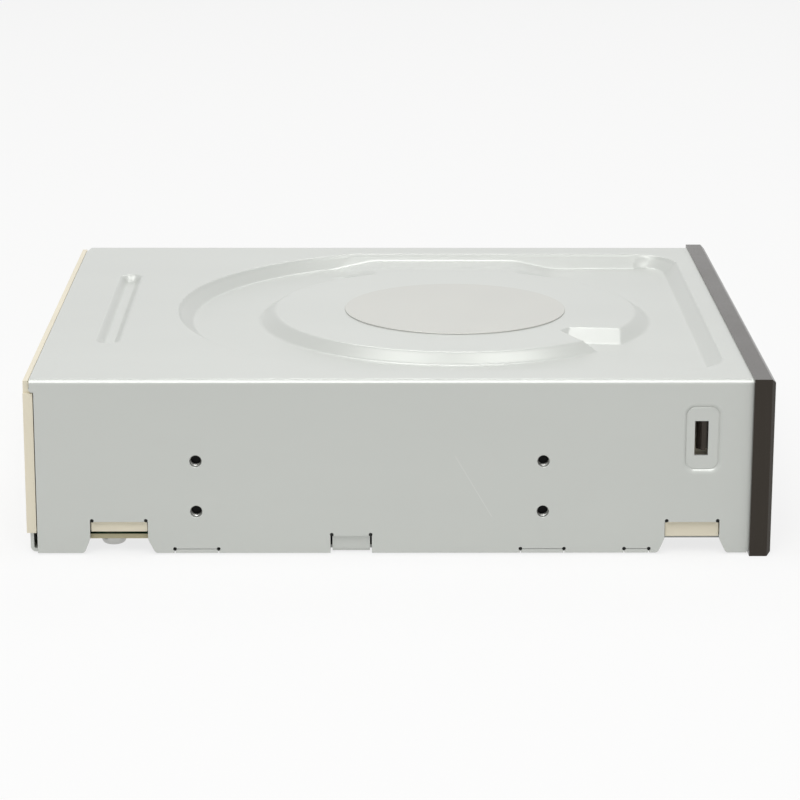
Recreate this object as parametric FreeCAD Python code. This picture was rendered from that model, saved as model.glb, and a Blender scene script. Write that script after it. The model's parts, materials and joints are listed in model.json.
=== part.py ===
import FreeCAD
import Part
import math
import os

from FreeCAD import Rotation, Vector

# Half-height optical disc drive, in millimetres.
# X is the width, +Y runs to the rear from the back face of the bezel, and Z = 0 is the
# underside of the case while modelling. save() then moves the drive so that its origin
# is the middle of its footprint, on the plane that its lowest point touches.

# Case of folded sheet steel. Its length follows its width, because both hold the same disc.
case_width = 146.0
case_height = 41.0
length_beyond_width = 17.05
side_length = case_width + length_beyond_width
top_overhang = 1.15
top_length = side_length + top_overhang
sheet = 0.8
bend_radius = 1.2
half_case = case_width / 2
inner_half = half_case - sheet
rear_tab_height = 3.0
growth = side_length / 163.05

# Bezel and tray door
bezel_drop = 0.4
bezel_width = case_width + 3.0
bezel_height = case_height + 2 * bezel_drop
bezel_thickness = 4.9
bezel_wall = 1.7
bezel_face = 2.2
door_bulge = 0.5
door_width = case_width - 13.0
door_bottom = case_height - 23.0
door_top = case_height - 7.5
door_gap = 0.5

# Screw holes for the drive bay, from the back face of the bezel and the underside
mount_y = (47.4, 126.64)
side_hole_z = (9.9, 21.84)
bottom_hole_x = half_case - 3.15
mount_hole_radius = 1.25

# Cuts and tabs of the side walls, as places along Y and heights
tab_half_length = 4.6
tab_depth = 8.0
slit_width = 0.45
tab_bend_height = 3.0
hook_tab = (23.3, 28.2)
front_notch = (7.3, 19.5)
front_notch_feet = (4.5, 21.7)
front_notch_top = 7.3
rear_notch = (138.0 * growth, 151.0 * growth)
rear_notch_feet = (135.0 * growth, 153.5 * growth)
rear_notch_top = 7.4
side_window = (86.5, 96.0)
side_window_top = 4.1
emboss_y = (7.3, 15.5)
emboss_z = (case_height - 22.0, case_height - 6.0)
emboss_depth = 0.55
emboss_slope = 0.45
hook_slot_y = (10.3, 12.8)
hook_slot_z = (case_height - 16.8, case_height - 9.6)

# Pressed relief of the top
relief_half_width = half_case - 4.5
relief_run = 4.5
relief_depth = 2.9
relief_front = 4.7
relief_corner = 12.0
plateau_drop = 0.4
plateau_radius = relief_half_width - 24.0
plateau_run = 3.2
groove_y = side_length - 13.75
groove_half_length = half_case - 35.0
groove_width = 6.0
groove_depth = 1.2
groove_run = 2.0
foil_radius = 27.5
foil_thickness = 0.25
clamper_opening = 19.0

# Main chassis, a moulded frame in three pieces that lie against each other
chassis_outer = half_case - 2.2
chassis_wall = 2.0
chassis_inner = chassis_outer - chassis_wall
chassis_top = case_height - sheet - 0.2
chassis_foot = 3.9
chassis_rear_foot = 4.85
foot_step_y = 91.0 * growth
deck_top = case_height - 26.0
deck_bottom = deck_top - 2.0
front_wall = (0.6, 2.4)
step_y = (17.6, 19.6)
front_arm_inner = chassis_inner - 1.5
rear_wall_front = side_length + 0.25
rear_wall_back = rear_wall_front + 2.2
rear_wall_bottom = 4.7
rib_width = 1.2
rib_bottom = deck_bottom - 4.5
boss_radius = 3.4
small_boss_radius = 2.5
cover_dimple_depth = 1.5
cover_dimple_radius = 6.2

# Disc, tray and slide
disc_y = 65.7 * growth
tray_half_width = chassis_inner - 3.3
tray_front = 1.0
tray_rear = 152.0 * growth
tray_bottom = case_height - 17.0
tray_top = tray_bottom + 5.2
tray_rim = 2.3
disc_plane = tray_top - 0.2
disc_recess = tray_half_width - 5.0
small_disc_recess = disc_recess - 20.0
recess_floor = tray_top - 2.6
tray_slot = 22.0
running_gap = 0.3
bridge_start = disc_y - 18.7
bridge_end = disc_y + 23.3
bridge_run = 3.0

# Main circuit board
board_half_width = inner_half - 0.9
board_thickness = 1.1
board_bottom = 3.0
board_top = board_bottom + board_thickness
board_front = 96.0 * growth
board_rear = side_length - 1.55

# Loading gears
gear_module = 0.8
rack_module = 1.0
big_teeth = 34
pulley_teeth = 12
tray_teeth = 14
rack_line = 13.5 - tray_half_width
tray_gear_y = 19.0
tray_gear_x = rack_line + rack_module * tray_teeth / 2
pulley_gear_x = tray_gear_x + gear_module * (big_teeth + pulley_teeth) / 2
big_gear_bottom = deck_top + 0.6
big_gear_top = big_gear_bottom + 2.2
pulley_bottom = big_gear_top + 0.4
pulley_top = pulley_bottom + 2.6
pulley_rim = 0.3
pulley_radius = 9.4
motor_x = pulley_gear_x + 34.6
motor_y = 15.0
motor_body_radius = 10.5
motor_half_depth = 7.6
motor_length = deck_bottom - 3.4
motor_shaft_radius = 0.8
motor_collar_radius = 2.6
motor_pulley_radius = 3.2
belt_width = 1.2
axle_radius = 1.5
axle_fit = 0.06
tip_gap = 0.15

# Cam slider across the front of the traverse
slider_front = tray_gear_y + 16.0
slider_back = slider_front + 3.0
slider_bottom = 1.8
slider_top = deck_top + 4.4
slider_left = rack_line - 6.0
slider_right = 24.0
slider_travel = 14.0
slider_gap = 0.4
dimple_clearance = 0.6
lift_pin_x = 17.0
lift_pin_radius = 1.5
lift_pin_gap = 0.35

# Lifting frame of the traverse
opening_half_width = chassis_inner - 20.8
opening_front = slider_back + 0.5
frame_half_width = opening_half_width - 0.8
frame_front = opening_front + 0.7
frame_bottom = deck_bottom - 0.8
frame_top = deck_top + 2.0
frame_side = 7.2
pivot_y = 143.0 * growth
pivot_z = deck_top + 0.5
pivot_radius = 2.0
pivot_fit = 0.1
frame_rear = pivot_y + 5.0
opening_rear = frame_rear + 2.0
bearing_inner = opening_half_width
bearing_outer = opening_half_width + 4.0
bearing_half = 4.2
pin_low = 5.25
pin_drop = pivot_z - pin_low

# Optical unit
base_half_width = frame_half_width - 4.2
base_front = frame_front + 7.8
base_rear = frame_rear - 8.5
base_bottom = deck_top + 3.5
base_top = base_bottom + 1.2
damper_x = base_half_width - 0.3
damper_y = (base_front + 3.0, base_rear - 6.5)
damper_radius = 3.0
rod_z = base_bottom - 1.8
rod_radius = 1.5
rod_fit = 0.05
main_rod_x = 17.0 - base_half_width
sub_rod_x = base_half_width - 15.0
screw_x = main_rod_x - 7.0
screw_radius = 1.4
journal_radius = 0.7
window_left = screw_x - 4.5
window_right = sub_rod_x + 6.0
window_front = disc_y + 14.7
window_rear = base_rear - 5.5
rod_front = window_front - 3.8
rod_rear = window_rear + 3.4
sled_motor_radius = 6.0
sled_motor_rear = window_front - 6.9
sled_motor_front = sled_motor_rear - 15.0
lens_y = disc_y + 24.0
lens_rim = 3.1
pickup_half_length = 8.5
pickup_bottom = rod_z - 3.5
pickup_top = pickup_bottom + 7.4
pickup_left = main_rod_x - 4.6
pickup_right = sub_rod_x + 3.0
turntable_radius = 14.0
hub_radius = 7.4
hub_top = disc_plane + 2.2
rotor_radius = 12.5
spindle_radius = 1.0
ffc_width = 13.0
ffc_thickness = 0.3
ffc_socket_y = board_front + 8.0

# Clamper
clamper_plate_bottom = tray_top + 3.0
clamper_plate_top = clamper_plate_bottom + 1.2
clamper_bottom = disc_plane + 1.5
clamper_top = clamper_bottom + 4.4
clamper_hole = 14.0
clamper_flange = 16.5
clamper_neck = 12.5
yoke_radius = 11.0

# Front controls
control_z = 0.2 * case_height
button_x = bezel_width / 2 - 24.5
button_width = 14.0
button_height = 5.0
button_travel = 0.8
button_flange = 0.8
lamp_x = button_x - 14.0
pinhole_x = button_x - 30.0
pinhole_radius = 0.8
switch_y = 5.2
front_board_bottom = 3.4
front_board_top = front_board_bottom + board_thickness
front_board_left = lamp_x - 12.0
front_board_right = button_x + 14.0
front_board_y = (4.0, 25.0)
front_boss_y = 20.0

# Sockets at the rear
plug_rear = rear_wall_back - 0.6
plug_bottom = board_top
plug_height = 6.6
plug_length = 9.5
data_plug_x = (half_case - 51.0, half_case - 36.4)
power_plug_x = (half_case - 33.0, half_case - 11.0)
tongue_height = 1.3

# Screws
shank_radius = 1.3
head_radius = 2.75
board_head_radius = 2.9
cover_boss_x = half_case - 16.0
cover_boss_front = slider_front - 4.0
cover_boss_rear = side_length - 6.55
cover_screw_places = (
    (-cover_boss_x, cover_boss_front),
    (cover_boss_x, cover_boss_front),
    (-cover_boss_x, cover_boss_rear),
    (12.0, cover_boss_rear),
)
board_boss_x = half_case - 5.7
board_boss_y = (rear_notch[0] + 8.0, board_front + 6.0)
board_screw_places = [(x, y) for y in board_boss_y for x in (-board_boss_x, board_boss_x)]
front_screw_places = [(x, front_boss_y) for x in (front_board_left + 4.0, front_board_right - 4.0)]
bridge_screw_x = chassis_inner - 5.2
ledge_y = (disc_y - 20.1, disc_y + 20.1)
bridge_screw_y = (disc_y - 15.7, disc_y + 15.7)

# How far a cutting tool reaches past the faces that it cuts
beyond = 2.0

# Sides of the rounds that repeat or stay hidden
shank_sides = 6
small_sides = 8
bar_sides = 12
pulley_sides = 16
turned_sides = 18
tray_sides = 48
foil_sides = 40
underside_sides = 40

# Shared helpers


def box(x0, x1, y0, y1, z0, z1):
    return Part.makeBox(x1 - x0, y1 - y0, z1 - z0, Vector(x0, y0, z0))


def disc(radius, x, y, z0, z1):
    return Part.makeCylinder(radius, z1 - z0, Vector(x, y, z0))


def rod_along(radius, start, end):
    along = end - start
    return Part.makeCylinder(radius, along.Length, start, along)


def facet_bar(radius, start, end, sides=small_sides):
    """Bar with a few flat sides, for the small rounds that repeat or stay hidden."""
    along = end - start
    step = 2 * math.pi / sides
    corners = [
        Vector(radius * math.cos((i + 0.5) * step), radius * math.sin((i + 0.5) * step), 0)
        for i in range(sides)
    ]
    bar = Part.Face(Part.makePolygon(corners + corners[:1])).extrude(Vector(0, 0, along.Length))
    bar.Placement = FreeCAD.Placement(start, Rotation(Vector(0, 0, 1), along))
    return bar


def facet_disc(radius, x, y, z0, z1, sides=small_sides):
    return facet_bar(radius, Vector(x, y, z0), Vector(x, y, z1), sides)


def facet_ring(outer, inner, x, y, z0, z1, sides=turned_sides):
    ring = facet_disc(outer, x, y, z0, z1, sides)
    return ring.cut(facet_disc(inner, x, y, z0 - 1, z1 + 1, sides))


def banded(low, high):
    """Solid between two flat outlines whose sides are parallel in pairs."""
    count = len(low)
    faces = [Part.Face(Part.makePolygon(ring + ring[:1])) for ring in (low, high)]
    for i in range(count):
        j = (i + 1) % count
        faces.append(Part.Face(Part.makePolygon([low[i], low[j], high[j], high[i], low[i]])))
    solid = Part.Solid(Part.Shell(faces))
    if solid.Volume < 0:
        solid.reverse()
    return solid


def turned(levels, x, y, sides=turned_sides):
    """Body turned about an upright axis, from (radius, height) pairs that only rise."""
    step = 2 * math.pi / sides
    parts = []
    for (low_radius, low), (high_radius, high) in zip(levels, levels[1:]):
        if high - low < 1e-6:
            continue
        rings = []
        for radius, z in ((low_radius, low), (high_radius, high)):
            turns = [(i + 0.5) * step for i in range(sides)]
            rings.append([Vector(x + radius * math.cos(t), y + radius * math.sin(t), z) for t in turns])
        parts.append(banded(rings[0], rings[1]))
    return parts[0] if len(parts) == 1 else fuse(parts)


def chamfered(x0, x1, y0, y1, cut):
    """Rectangle with its corners cut off."""
    return [
        (x0 + cut, y0, 0),
        (x1 - cut, y0, 0),
        (x1, y0 + cut, 0),
        (x1, y1 - cut, 0),
        (x1 - cut, y1, 0),
        (x0 + cut, y1, 0),
        (x0, y1 - cut, 0),
        (x0, y0 + cut, 0),
    ]


def rounded_wire(corners):
    """Closed wire through corners (x, y, radius), each rounded by a tangent arc."""
    count = len(corners)
    ends = []
    for i in range(count):
        x, y, radius = corners[i]
        here = Vector(x, y, 0)
        before = Vector(corners[i - 1][0], corners[i - 1][1], 0) - here
        after = Vector(corners[(i + 1) % count][0], corners[(i + 1) % count][1], 0) - here
        before.normalize()
        after.normalize()
        if radius == 0:
            ends.append((here, None, here))
            continue
        half = before.getAngle(after) / 2
        reach = radius / math.tan(half)
        inward = before + after
        inward.normalize()
        middle = here + inward * (radius / math.sin(half) - radius)
        ends.append((here + before * reach, middle, here + after * reach))
    edges = []
    for i in range(count):
        start, middle, finish = ends[i]
        following = ends[(i + 1) % count][0]
        if middle is not None:
            edges.append(Part.Arc(start, middle, finish).toShape())
        if (following - finish).Length > 1e-4:
            edges.append(Part.makeLine(finish, following))
    return Part.Wire(edges)


def plate(corners, z0, z1):
    """Prism of an outline in X and Y."""
    face = Part.Face(rounded_wire(corners))
    face.translate(Vector(0, 0, z0))
    return face.extrude(Vector(0, 0, z1 - z0))


def prism_y(corners, y0, y1):
    """Prism of an outline in X and Z, run along Y."""
    face = Part.Face(rounded_wire(corners))
    face.rotate(Vector(0, 0, 0), Vector(1, 0, 0), 90)
    face.translate(Vector(0, y0, 0))
    return face.extrude(Vector(0, y1 - y0, 0))


def prism_x(corners, x0, x1):
    """Prism of an outline in Y and Z, run along X."""
    face = Part.Face(rounded_wire(corners))
    face.rotate(Vector(0, 0, 0), Vector(1, 1, 1), 120)
    face.translate(Vector(x0, 0, 0))
    return face.extrude(Vector(x1 - x0, 0, 0))


def taper(low_corners, z0, high_corners, z1):
    """Straight-sided solid between two sharp-cornered outlines."""
    low = [Vector(corner[0], corner[1], z0) for corner in low_corners]
    high = [Vector(corner[0], corner[1], z1) for corner in high_corners]
    return banded(low, high)


def rectangle(x0, x1, y0, y1, radius=0.0):
    return [(x0, y0, radius), (x1, y0, radius), (x1, y1, radius), (x0, y1, radius)]


def fuse(shapes):
    return shapes[0].fuse(shapes[1:]).removeSplitter()


def mirrored(shape):
    return shape.mirror(Vector(0, 0, 0), Vector(1, 0, 0))


def both_sides(shapes):
    return shapes + [mirrored(shape) for shape in shapes]


def edges_where(shape, wanted):
    return [edge for edge in shape.Edges if wanted(edge)]


def tooth_ring(module, teeth, x, y, z0, z1, phase=0.0):
    """Spur gear with flanks that lean as a 20 degree involute does near its pitch line."""
    pitch = module * teeth / 2
    levels = ((pitch - 1.2 * module, 0.74), (pitch + 0.95 * module, 0.22))
    step = 2 * math.pi / teeth
    points = []
    for tooth in range(teeth):
        middle = phase + tooth * step
        flank = [(radius, middle - share * step / 2) for radius, share in levels]
        flank += [(radius, middle + share * step / 2) for radius, share in reversed(levels)]
        for radius, angle in flank:
            points.append((x + radius * math.cos(angle), y + radius * math.sin(angle), 0))
    return plate(points, z0, z1)


def rack_teeth(module, teeth, start):
    """Outline points of a rack along its length: (along, height above its root line)."""
    pitch = math.pi * module
    points = []
    for tooth in range(teeth):
        middle = start + (tooth + 0.5) * pitch
        points += [
            (middle - 0.38 * pitch, 0.0),
            (middle - 0.12 * pitch, 2.1 * module),
            (middle + 0.12 * pitch, 2.1 * module),
            (middle + 0.38 * pitch, 0.0),
        ]
    return points


def shank(x, y, z0, z1):
    return facet_disc(shank_radius, x, y, z0, z1, shank_sides)


def screw_up(x, y, head_bottom, head_height, shank_length, radius=head_radius):
    """Pan-head screw driven upwards."""
    head_top = head_bottom + head_height
    head = facet_disc(radius, x, y, head_bottom, head_top)
    return fuse([head, shank(x, y, head_top, head_top + shank_length)])


def screw_down(x, y, head_top, head_height, shank_length, radius=head_radius):
    """Pan-head screw driven downwards."""
    head_bottom = head_top - head_height
    head = facet_disc(radius, x, y, head_bottom, head_top)
    return fuse([head, shank(x, y, head_bottom - shank_length, head_bottom)])


middle_y = (rear_wall_back - bezel_thickness - door_bulge) / 2


def save(name, shape):
    """Write one sub-part, moved from the modelling datum to the drive's own origin."""
    pieces = shape if isinstance(shape, list) else [shape]
    solids = []
    for piece in pieces:
        moved = piece.copy()
        moved.translate(Vector(0, -middle_y, bezel_drop))
        solids += moved.Solids
    whole = solids[0] if len(solids) == 1 else Part.makeCompound(solids)
    whole.exportStep("parts/" + name + ".step")


# Steel case


def cone(low_radius, high_radius, x, y, z0, z1, sides=0):
    """Cone that widens upwards, or its many-sided form."""
    if sides:
        return turned(((low_radius, z0), (high_radius, z1)), x, y, sides)
    return Part.makeCone(low_radius, high_radius, z1 - z0, Vector(x, y, z0))


def relief_dish(floor, top, sides):
    """D-shaped dish: a cone at the rear, straight tapered sides, two corner cones."""
    half = relief_half_width
    low_half = half - relief_run
    corner_x = half - relief_corner
    corner_y = relief_front + relief_corner
    low_corner = relief_corner - relief_run
    low_front = relief_front + relief_run
    rear = cone(low_half, half, 0, disc_y, floor, top, sides)
    parts = [rear.cut(box(-half - 1, half + 1, disc_y - half - 1, disc_y, floor - 1, top + 1))]
    parts.append(
        taper(
            rectangle(-low_half, low_half, corner_y, disc_y),
            floor,
            rectangle(-half, half, corner_y, disc_y),
            top,
        )
    )
    parts.append(
        taper(
            rectangle(-corner_x, corner_x, low_front, disc_y),
            floor,
            rectangle(-corner_x, corner_x, relief_front, disc_y),
            top,
        )
    )
    for x in (-corner_x, corner_x):
        parts.append(cone(low_corner, relief_corner, x, corner_y, floor, top, sides // 2))
    return fuse(parts)


def relief_tool(sides=0):
    """What the press takes from the top plane: the D, less the plateau and its bridge."""
    floor = case_height - relief_depth
    level = case_height - plateau_drop
    foot = plateau_radius + plateau_run
    plateau = cone(foot, plateau_radius, 0, disc_y, floor, level, sides)
    beyond = relief_half_width + relief_run
    bridge = taper(
        rectangle(0, beyond, bridge_start - bridge_run, bridge_end + bridge_run),
        floor,
        rectangle(0, beyond, bridge_start, bridge_end),
        level,
    )
    bay = plateau_radius
    notch_corners = [
        (-0.48 * bay, disc_y - 0.88 * bay, 0),
        (-0.45 * bay, disc_y - 0.62 * bay, 0),
        (-0.56 * bay, disc_y - 0.57 * bay, 0),
        (-0.74 * bay, disc_y - 0.66 * bay, 0),
        (-0.99 * bay, disc_y - 0.78 * bay, 0),
        (-0.67 * bay, disc_y - 1.21 * bay, 0),
    ]
    notch = plate(notch_corners, floor, level)
    raised = fuse([plateau, bridge]).cut(notch)
    return relief_dish(floor, case_height, sides).cut(raised)


def groove_tool(sides=0):
    """Long shallow groove with round ends, behind the dish."""
    half_width = groove_width / 2
    low_half = half_width - groove_run
    end_x = groove_half_length - half_width
    floor = case_height - groove_depth
    ends = [cone(low_half, half_width, x, groove_y, floor, case_height, sides // 4) for x in (-end_x, end_x)]
    run = taper(
        rectangle(-end_x, end_x, groove_y - low_half, groove_y + low_half),
        floor,
        rectangle(-end_x, end_x, groove_y - half_width, groove_y + half_width),
        case_height,
    )
    return fuse(ends + [run])


def side_notch(sides, feet, top):
    """Cut at the lower edge of a side wall, with flared feet."""
    start, end = sides
    flare_start, flare_end = feet
    flare_top = 4.0
    flare_foot = 0.9
    outline = [
        (flare_start, -beyond, 0),
        (flare_start, flare_foot, 0),
        (start, flare_top, 0),
        (start, top, 0),
        (end, top, 0),
        (end, flare_top, 0),
        (flare_end, flare_foot, 0),
        (flare_end, -beyond, 0),
    ]
    return prism_x(outline, -half_case - beyond, -inner_half + beyond)


def side_bore(radius, y, z):
    return rod_along(radius, Vector(-half_case - beyond, y, z), Vector(-inner_half + beyond, y, z))


def mount_tab(start, end, depth):
    """Inward tab at the foot of the side wall, with its bend."""
    height = tab_bend_height
    bend = 0.6
    profile = [
        (-half_case, height, 0),
        (-half_case, bend, 0),
        (-half_case + bend, 0, 0),
        (-half_case + depth, 0, 0),
        (-half_case + depth, sheet, 0),
        (-inner_half, sheet, 0),
        (-inner_half, height, 0),
    ]
    return prism_y(profile, start, end)


def emboss(outset):
    """Shallow pressed pad in a side wall, or its back when it is set in by the sheet."""
    y0, y1 = emboss_y
    z0, z1 = emboss_z
    slope = emboss_slope
    corner = 1.3
    outer = chamfered(y0, y1, z0, z1, corner)
    inner = chamfered(y0 + slope, y1 - slope, z0 + slope, z1 - slope, corner)
    pad = taper(outer, 0, inner, emboss_depth)
    pad.rotate(Vector(0, 0, 0), Vector(1, 1, 1), 120)
    pad.translate(Vector(-half_case + outset, 0, 0))
    return pad


def top_cover():
    profile_out = [
        (-half_case, 0, 0),
        (-half_case, case_height, bend_radius),
        (half_case, case_height, bend_radius),
        (half_case, 0, 0),
    ]
    inside = bend_radius - sheet
    profile_in = [
        (-inner_half, -beyond, 0),
        (-inner_half, case_height - sheet, inside),
        (inner_half, case_height - sheet, inside),
        (inner_half, -beyond, 0),
    ]
    shell = prism_y(profile_out, 0, top_length).cut(prism_y(profile_in, -beyond, top_length + beyond))

    relief = relief_tool()
    groove = groove_tool()
    down = Vector(0, 0, -sheet)
    lower = relief_tool(underside_sides)
    lower.translate(down)
    lower_groove = groove_tool(underside_sides)
    lower_groove.translate(down)
    shell = shell.fuse([lower, lower_groove]).cut([relief, groove])
    shell = shell.cut(facet_disc(clamper_opening, 0, disc_y, 0, case_height, turned_sides)).removeSplitter()

    # rear ends of the side walls and of the top plate, whose far corner is cut back
    tab_bottom = case_height - rear_tab_height
    rear = top_length + beyond
    full = half_case + beyond
    far_corner = inner_half - 5.6
    shell = shell.cut(box(-full, full, side_length, rear, -beyond, tab_bottom))
    over = case_height + beyond
    shell = shell.cut(box(far_corner, full, side_length + 0.1, rear, tab_bottom - beyond, over))

    # tabs bent inward at the foot of the walls, with slits beside them
    tabs = [(y - tab_half_length, y + tab_half_length, tab_depth) for y in mount_y]
    tabs.append((hook_tab[0], hook_tab[1], tab_depth / 2))
    wall_clear = -inner_half + 0.5
    near = []
    cuts = []
    for start, end, depth in tabs:
        near.append(mount_tab(start, end, depth))
        side_slit = 2 * slit_width
        cuts.append(box(-full, wall_clear, start - side_slit, end + side_slit, -beyond, side_slit))
        cuts.append(box(-full, wall_clear, start, end, -beyond, tab_bend_height))
    cuts.append(side_notch(front_notch, front_notch_feet, front_notch_top))
    cuts.append(side_notch(rear_notch, rear_notch_feet, rear_notch_top))
    cuts.append(box(-full, wall_clear, side_window[0], side_window[1], -beyond, side_window_top))
    shell = shell.cut(both_sides(cuts))

    near.append(emboss(sheet))
    bores = []
    for y in mount_y:
        bores += [side_bore(mount_hole_radius, y, z) for z in side_hole_z]
        bores.append(disc(mount_hole_radius, -bottom_hole_x, y, -beyond, sheet + beyond))
    shell = shell.fuse(both_sides(near))
    slot = box(-full, beyond - inner_half, hook_slot_y[0], hook_slot_y[1], hook_slot_z[0], hook_slot_z[1])
    bores += [emboss(0), slot]
    return shell.cut(both_sides(bores)).removeSplitter()


def bottom_cover():
    edge = inner_half - 0.2
    rear = rear_wall_front + 1.5
    front = 0.3
    body = plate(rectangle(-edge, edge, front, rear), 0, sheet)
    side_cut = half_case - 11.5
    margin = 0.7
    outer = edge + beyond
    cuts = []
    for x, start, end in (
        (side_cut, front_notch_feet[0] - margin, front_notch_feet[1] + margin),
        (side_cut, rear_notch_feet[0] - margin, rear_notch_feet[1] + margin),
        (side_cut + 5.2, hook_tab[0] - 2 * margin, hook_tab[1] + 2 * margin),
        (side_cut + 2.9, mount_y[0] - tab_half_length - margin, mount_y[0] + tab_half_length + margin),
        (side_cut + 2.9, mount_y[1] - tab_half_length - margin, mount_y[1] + tab_half_length + margin),
    ):
        cuts.append(box(x, outer, start, end, -beyond, sheet + beyond))
    body = body.cut(both_sides(cuts))

    # upturned rear flange and side tabs
    flange_top = 4.4
    foot = 4.0
    inside_bend = bend_radius - sheet
    flange_profile = [
        (rear - foot, 0, 0),
        (rear, 0, bend_radius),
        (rear, flange_top, 0),
        (rear - sheet, flange_top, 0),
        (rear - sheet, sheet, inside_bend),
        (rear - foot, sheet, 0),
    ]
    flange = prism_x(flange_profile, -edge + 0.3, edge - 0.3)
    tab_top = side_window_top - 0.3
    tab_profile = [
        (edge - foot, 0, 0),
        (edge, 0, bend_radius),
        (edge, tab_top, 0),
        (edge - sheet, tab_top, 0),
        (edge - sheet, sheet, inside_bend),
        (edge - foot, sheet, 0),
    ]
    start, end = side_window
    tab = prism_y(tab_profile, start + slit_width, end - slit_width)
    body = body.cut(box(-outer, outer, rear - foot + 1, rear + beyond, -beyond, sheet + beyond))
    body = body.cut(both_sides([box(edge - foot + 1, outer, start, end, -beyond, sheet + beyond)]))
    body = body.fuse([flange] + both_sides([tab]))

    # raised pads that stiffen the sheet, and dimples that sink the screw heads
    pad_rise = 0.6
    pad_run = 1.5
    half_pad = half_case - 27.0
    pad_start = opening_front + 4.5
    pad_split = 120.0 * growth
    pads = (
        (-half_pad, -6.0, pad_start, pad_split - 4.0),
        (6.0, half_pad, pad_start, pad_split - 4.0),
        (6.0 - half_pad, half_pad - 6.0, pad_split + 4.0, rear_notch[1] - 5.0),
    )
    tools = []
    for x0, x1, y0, y1 in pads:
        top = rectangle(x0 + pad_run, x1 - pad_run, y0 + pad_run, y1 - pad_run)
        tools.append(taper(rectangle(x0, x1, y0, y1), 0, top, pad_rise))
    for x, y in cover_screw_places:
        dimple = [(cover_dimple_radius, 0), (cover_dimple_radius - 1.6, cover_dimple_depth)]
        tools.append(turned(dimple, x, y, small_sides))
    lifted = []
    for tool in tools:
        raised = tool.copy()
        raised.translate(Vector(0, 0, sheet))
        lifted.append(raised)
    body = body.fuse(lifted).cut(tools)
    hole = shank_radius + 0.3
    holes = [facet_disc(hole, x, y, -beyond, cover_dimple_depth + beyond) for x, y in cover_screw_places]
    plug_room = 2.0
    holes.append(
        box(
            data_plug_x[0] - plug_room,
            power_plug_x[1] + plug_room,
            rear - plug_room,
            rear + beyond,
            plug_bottom - 0.4,
            flange_top + beyond,
        )
    )
    return body.cut(holes).removeSplitter()


def seal_foil():
    level = case_height - plateau_drop
    return facet_disc(foil_radius, 0, disc_y, level, level + foil_thickness, foil_sides)


# Moulded chassis

def side_frame():
    """Right side wall of the chassis, with the rails that guide the tray and the bridge's ledge."""
    profile = [
        (step_y[0], chassis_foot, 0),
        (foot_step_y - 1, chassis_foot, 0),
        (foot_step_y + 1, chassis_rear_foot, 0),
        (rear_wall_front, chassis_rear_foot, 0),
        (rear_wall_front, chassis_top, 0),
        (step_y[0], chassis_top, 0),
    ]
    wall = prism_x(profile, chassis_inner, chassis_outer)
    arm_top = case_height - 4.2
    step = box(front_arm_inner, chassis_outer, step_y[0], step_y[1], chassis_foot, arm_top)
    arm_outer = front_arm_inner + chassis_wall
    arm = box(front_arm_inner, arm_outer, front_wall[0], step_y[1], chassis_foot, arm_top)
    rail_top = tray_bottom - running_gap
    rail_inner = tray_half_width - 1.6
    rail_profile = [
        (chassis_inner, rail_top, 0),
        (rail_inner, rail_top, 0),
        (rail_inner, rail_top - 1.6, 0),
        (chassis_inner, rail_top - 3.4, 0),
    ]
    parts = [wall, step, arm, prism_y(rail_profile, 4.0, rear_wall_front)]
    lug_bottom = tray_top + running_gap
    into_wall = chassis_inner + 0.5
    for start in (5.0, 94.0 * growth):
        lug = box(tray_half_width - 2.5, into_wall, start, start + 22.0, lug_bottom, lug_bottom + 1.8)
        parts.append(lug)
    ledge_inner = bridge_screw_x - boss_radius
    ledge_bottom = clamper_plate_bottom - 2.2
    parts.append(box(ledge_inner, into_wall, ledge_y[0], ledge_y[1], ledge_bottom, clamper_plate_bottom))
    pocket = 3.2
    pocket_floor = chassis_outer - 0.7 * chassis_wall
    pockets = []
    for y in mount_y:
        for z in side_hole_z:
            pockets.append(
                box(pocket_floor, chassis_outer + beyond, y - pocket, y + pocket, z - pocket, z + pocket)
            )
    return fuse(parts).cut(pockets).removeSplitter()


def side_frames():
    return both_sides([side_frame()])


def rear_wall():
    """Rear wall of the chassis, with a lip that shows behind the rear edge of the top plate."""
    strip_half = half_case - 0.4
    under_tab = inner_half - 0.3
    tab_clear = case_height - rear_tab_height - 0.3
    plate_gap = 0.15
    lip_front = top_length + plate_gap
    under_plate = case_height - sheet - plate_gap
    body = fuse(
        [
            box(-strip_half, strip_half, rear_wall_front, rear_wall_back, rear_wall_bottom, tab_clear),
            box(-under_tab, under_tab, rear_wall_front, rear_wall_back, tab_clear, under_plate),
            box(-under_tab, under_tab, lip_front, rear_wall_back, tab_clear, case_height - 0.5),
        ]
    )
    plug_room = 4.0
    return body.cut(
        box(
            data_plug_x[0] - plug_room,
            power_plug_x[1] + plug_room,
            rear_wall_front - beyond,
            rear_wall_back + beyond,
            -beyond,
            plug_bottom + plug_height + 1.5,
        )
    )


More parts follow.
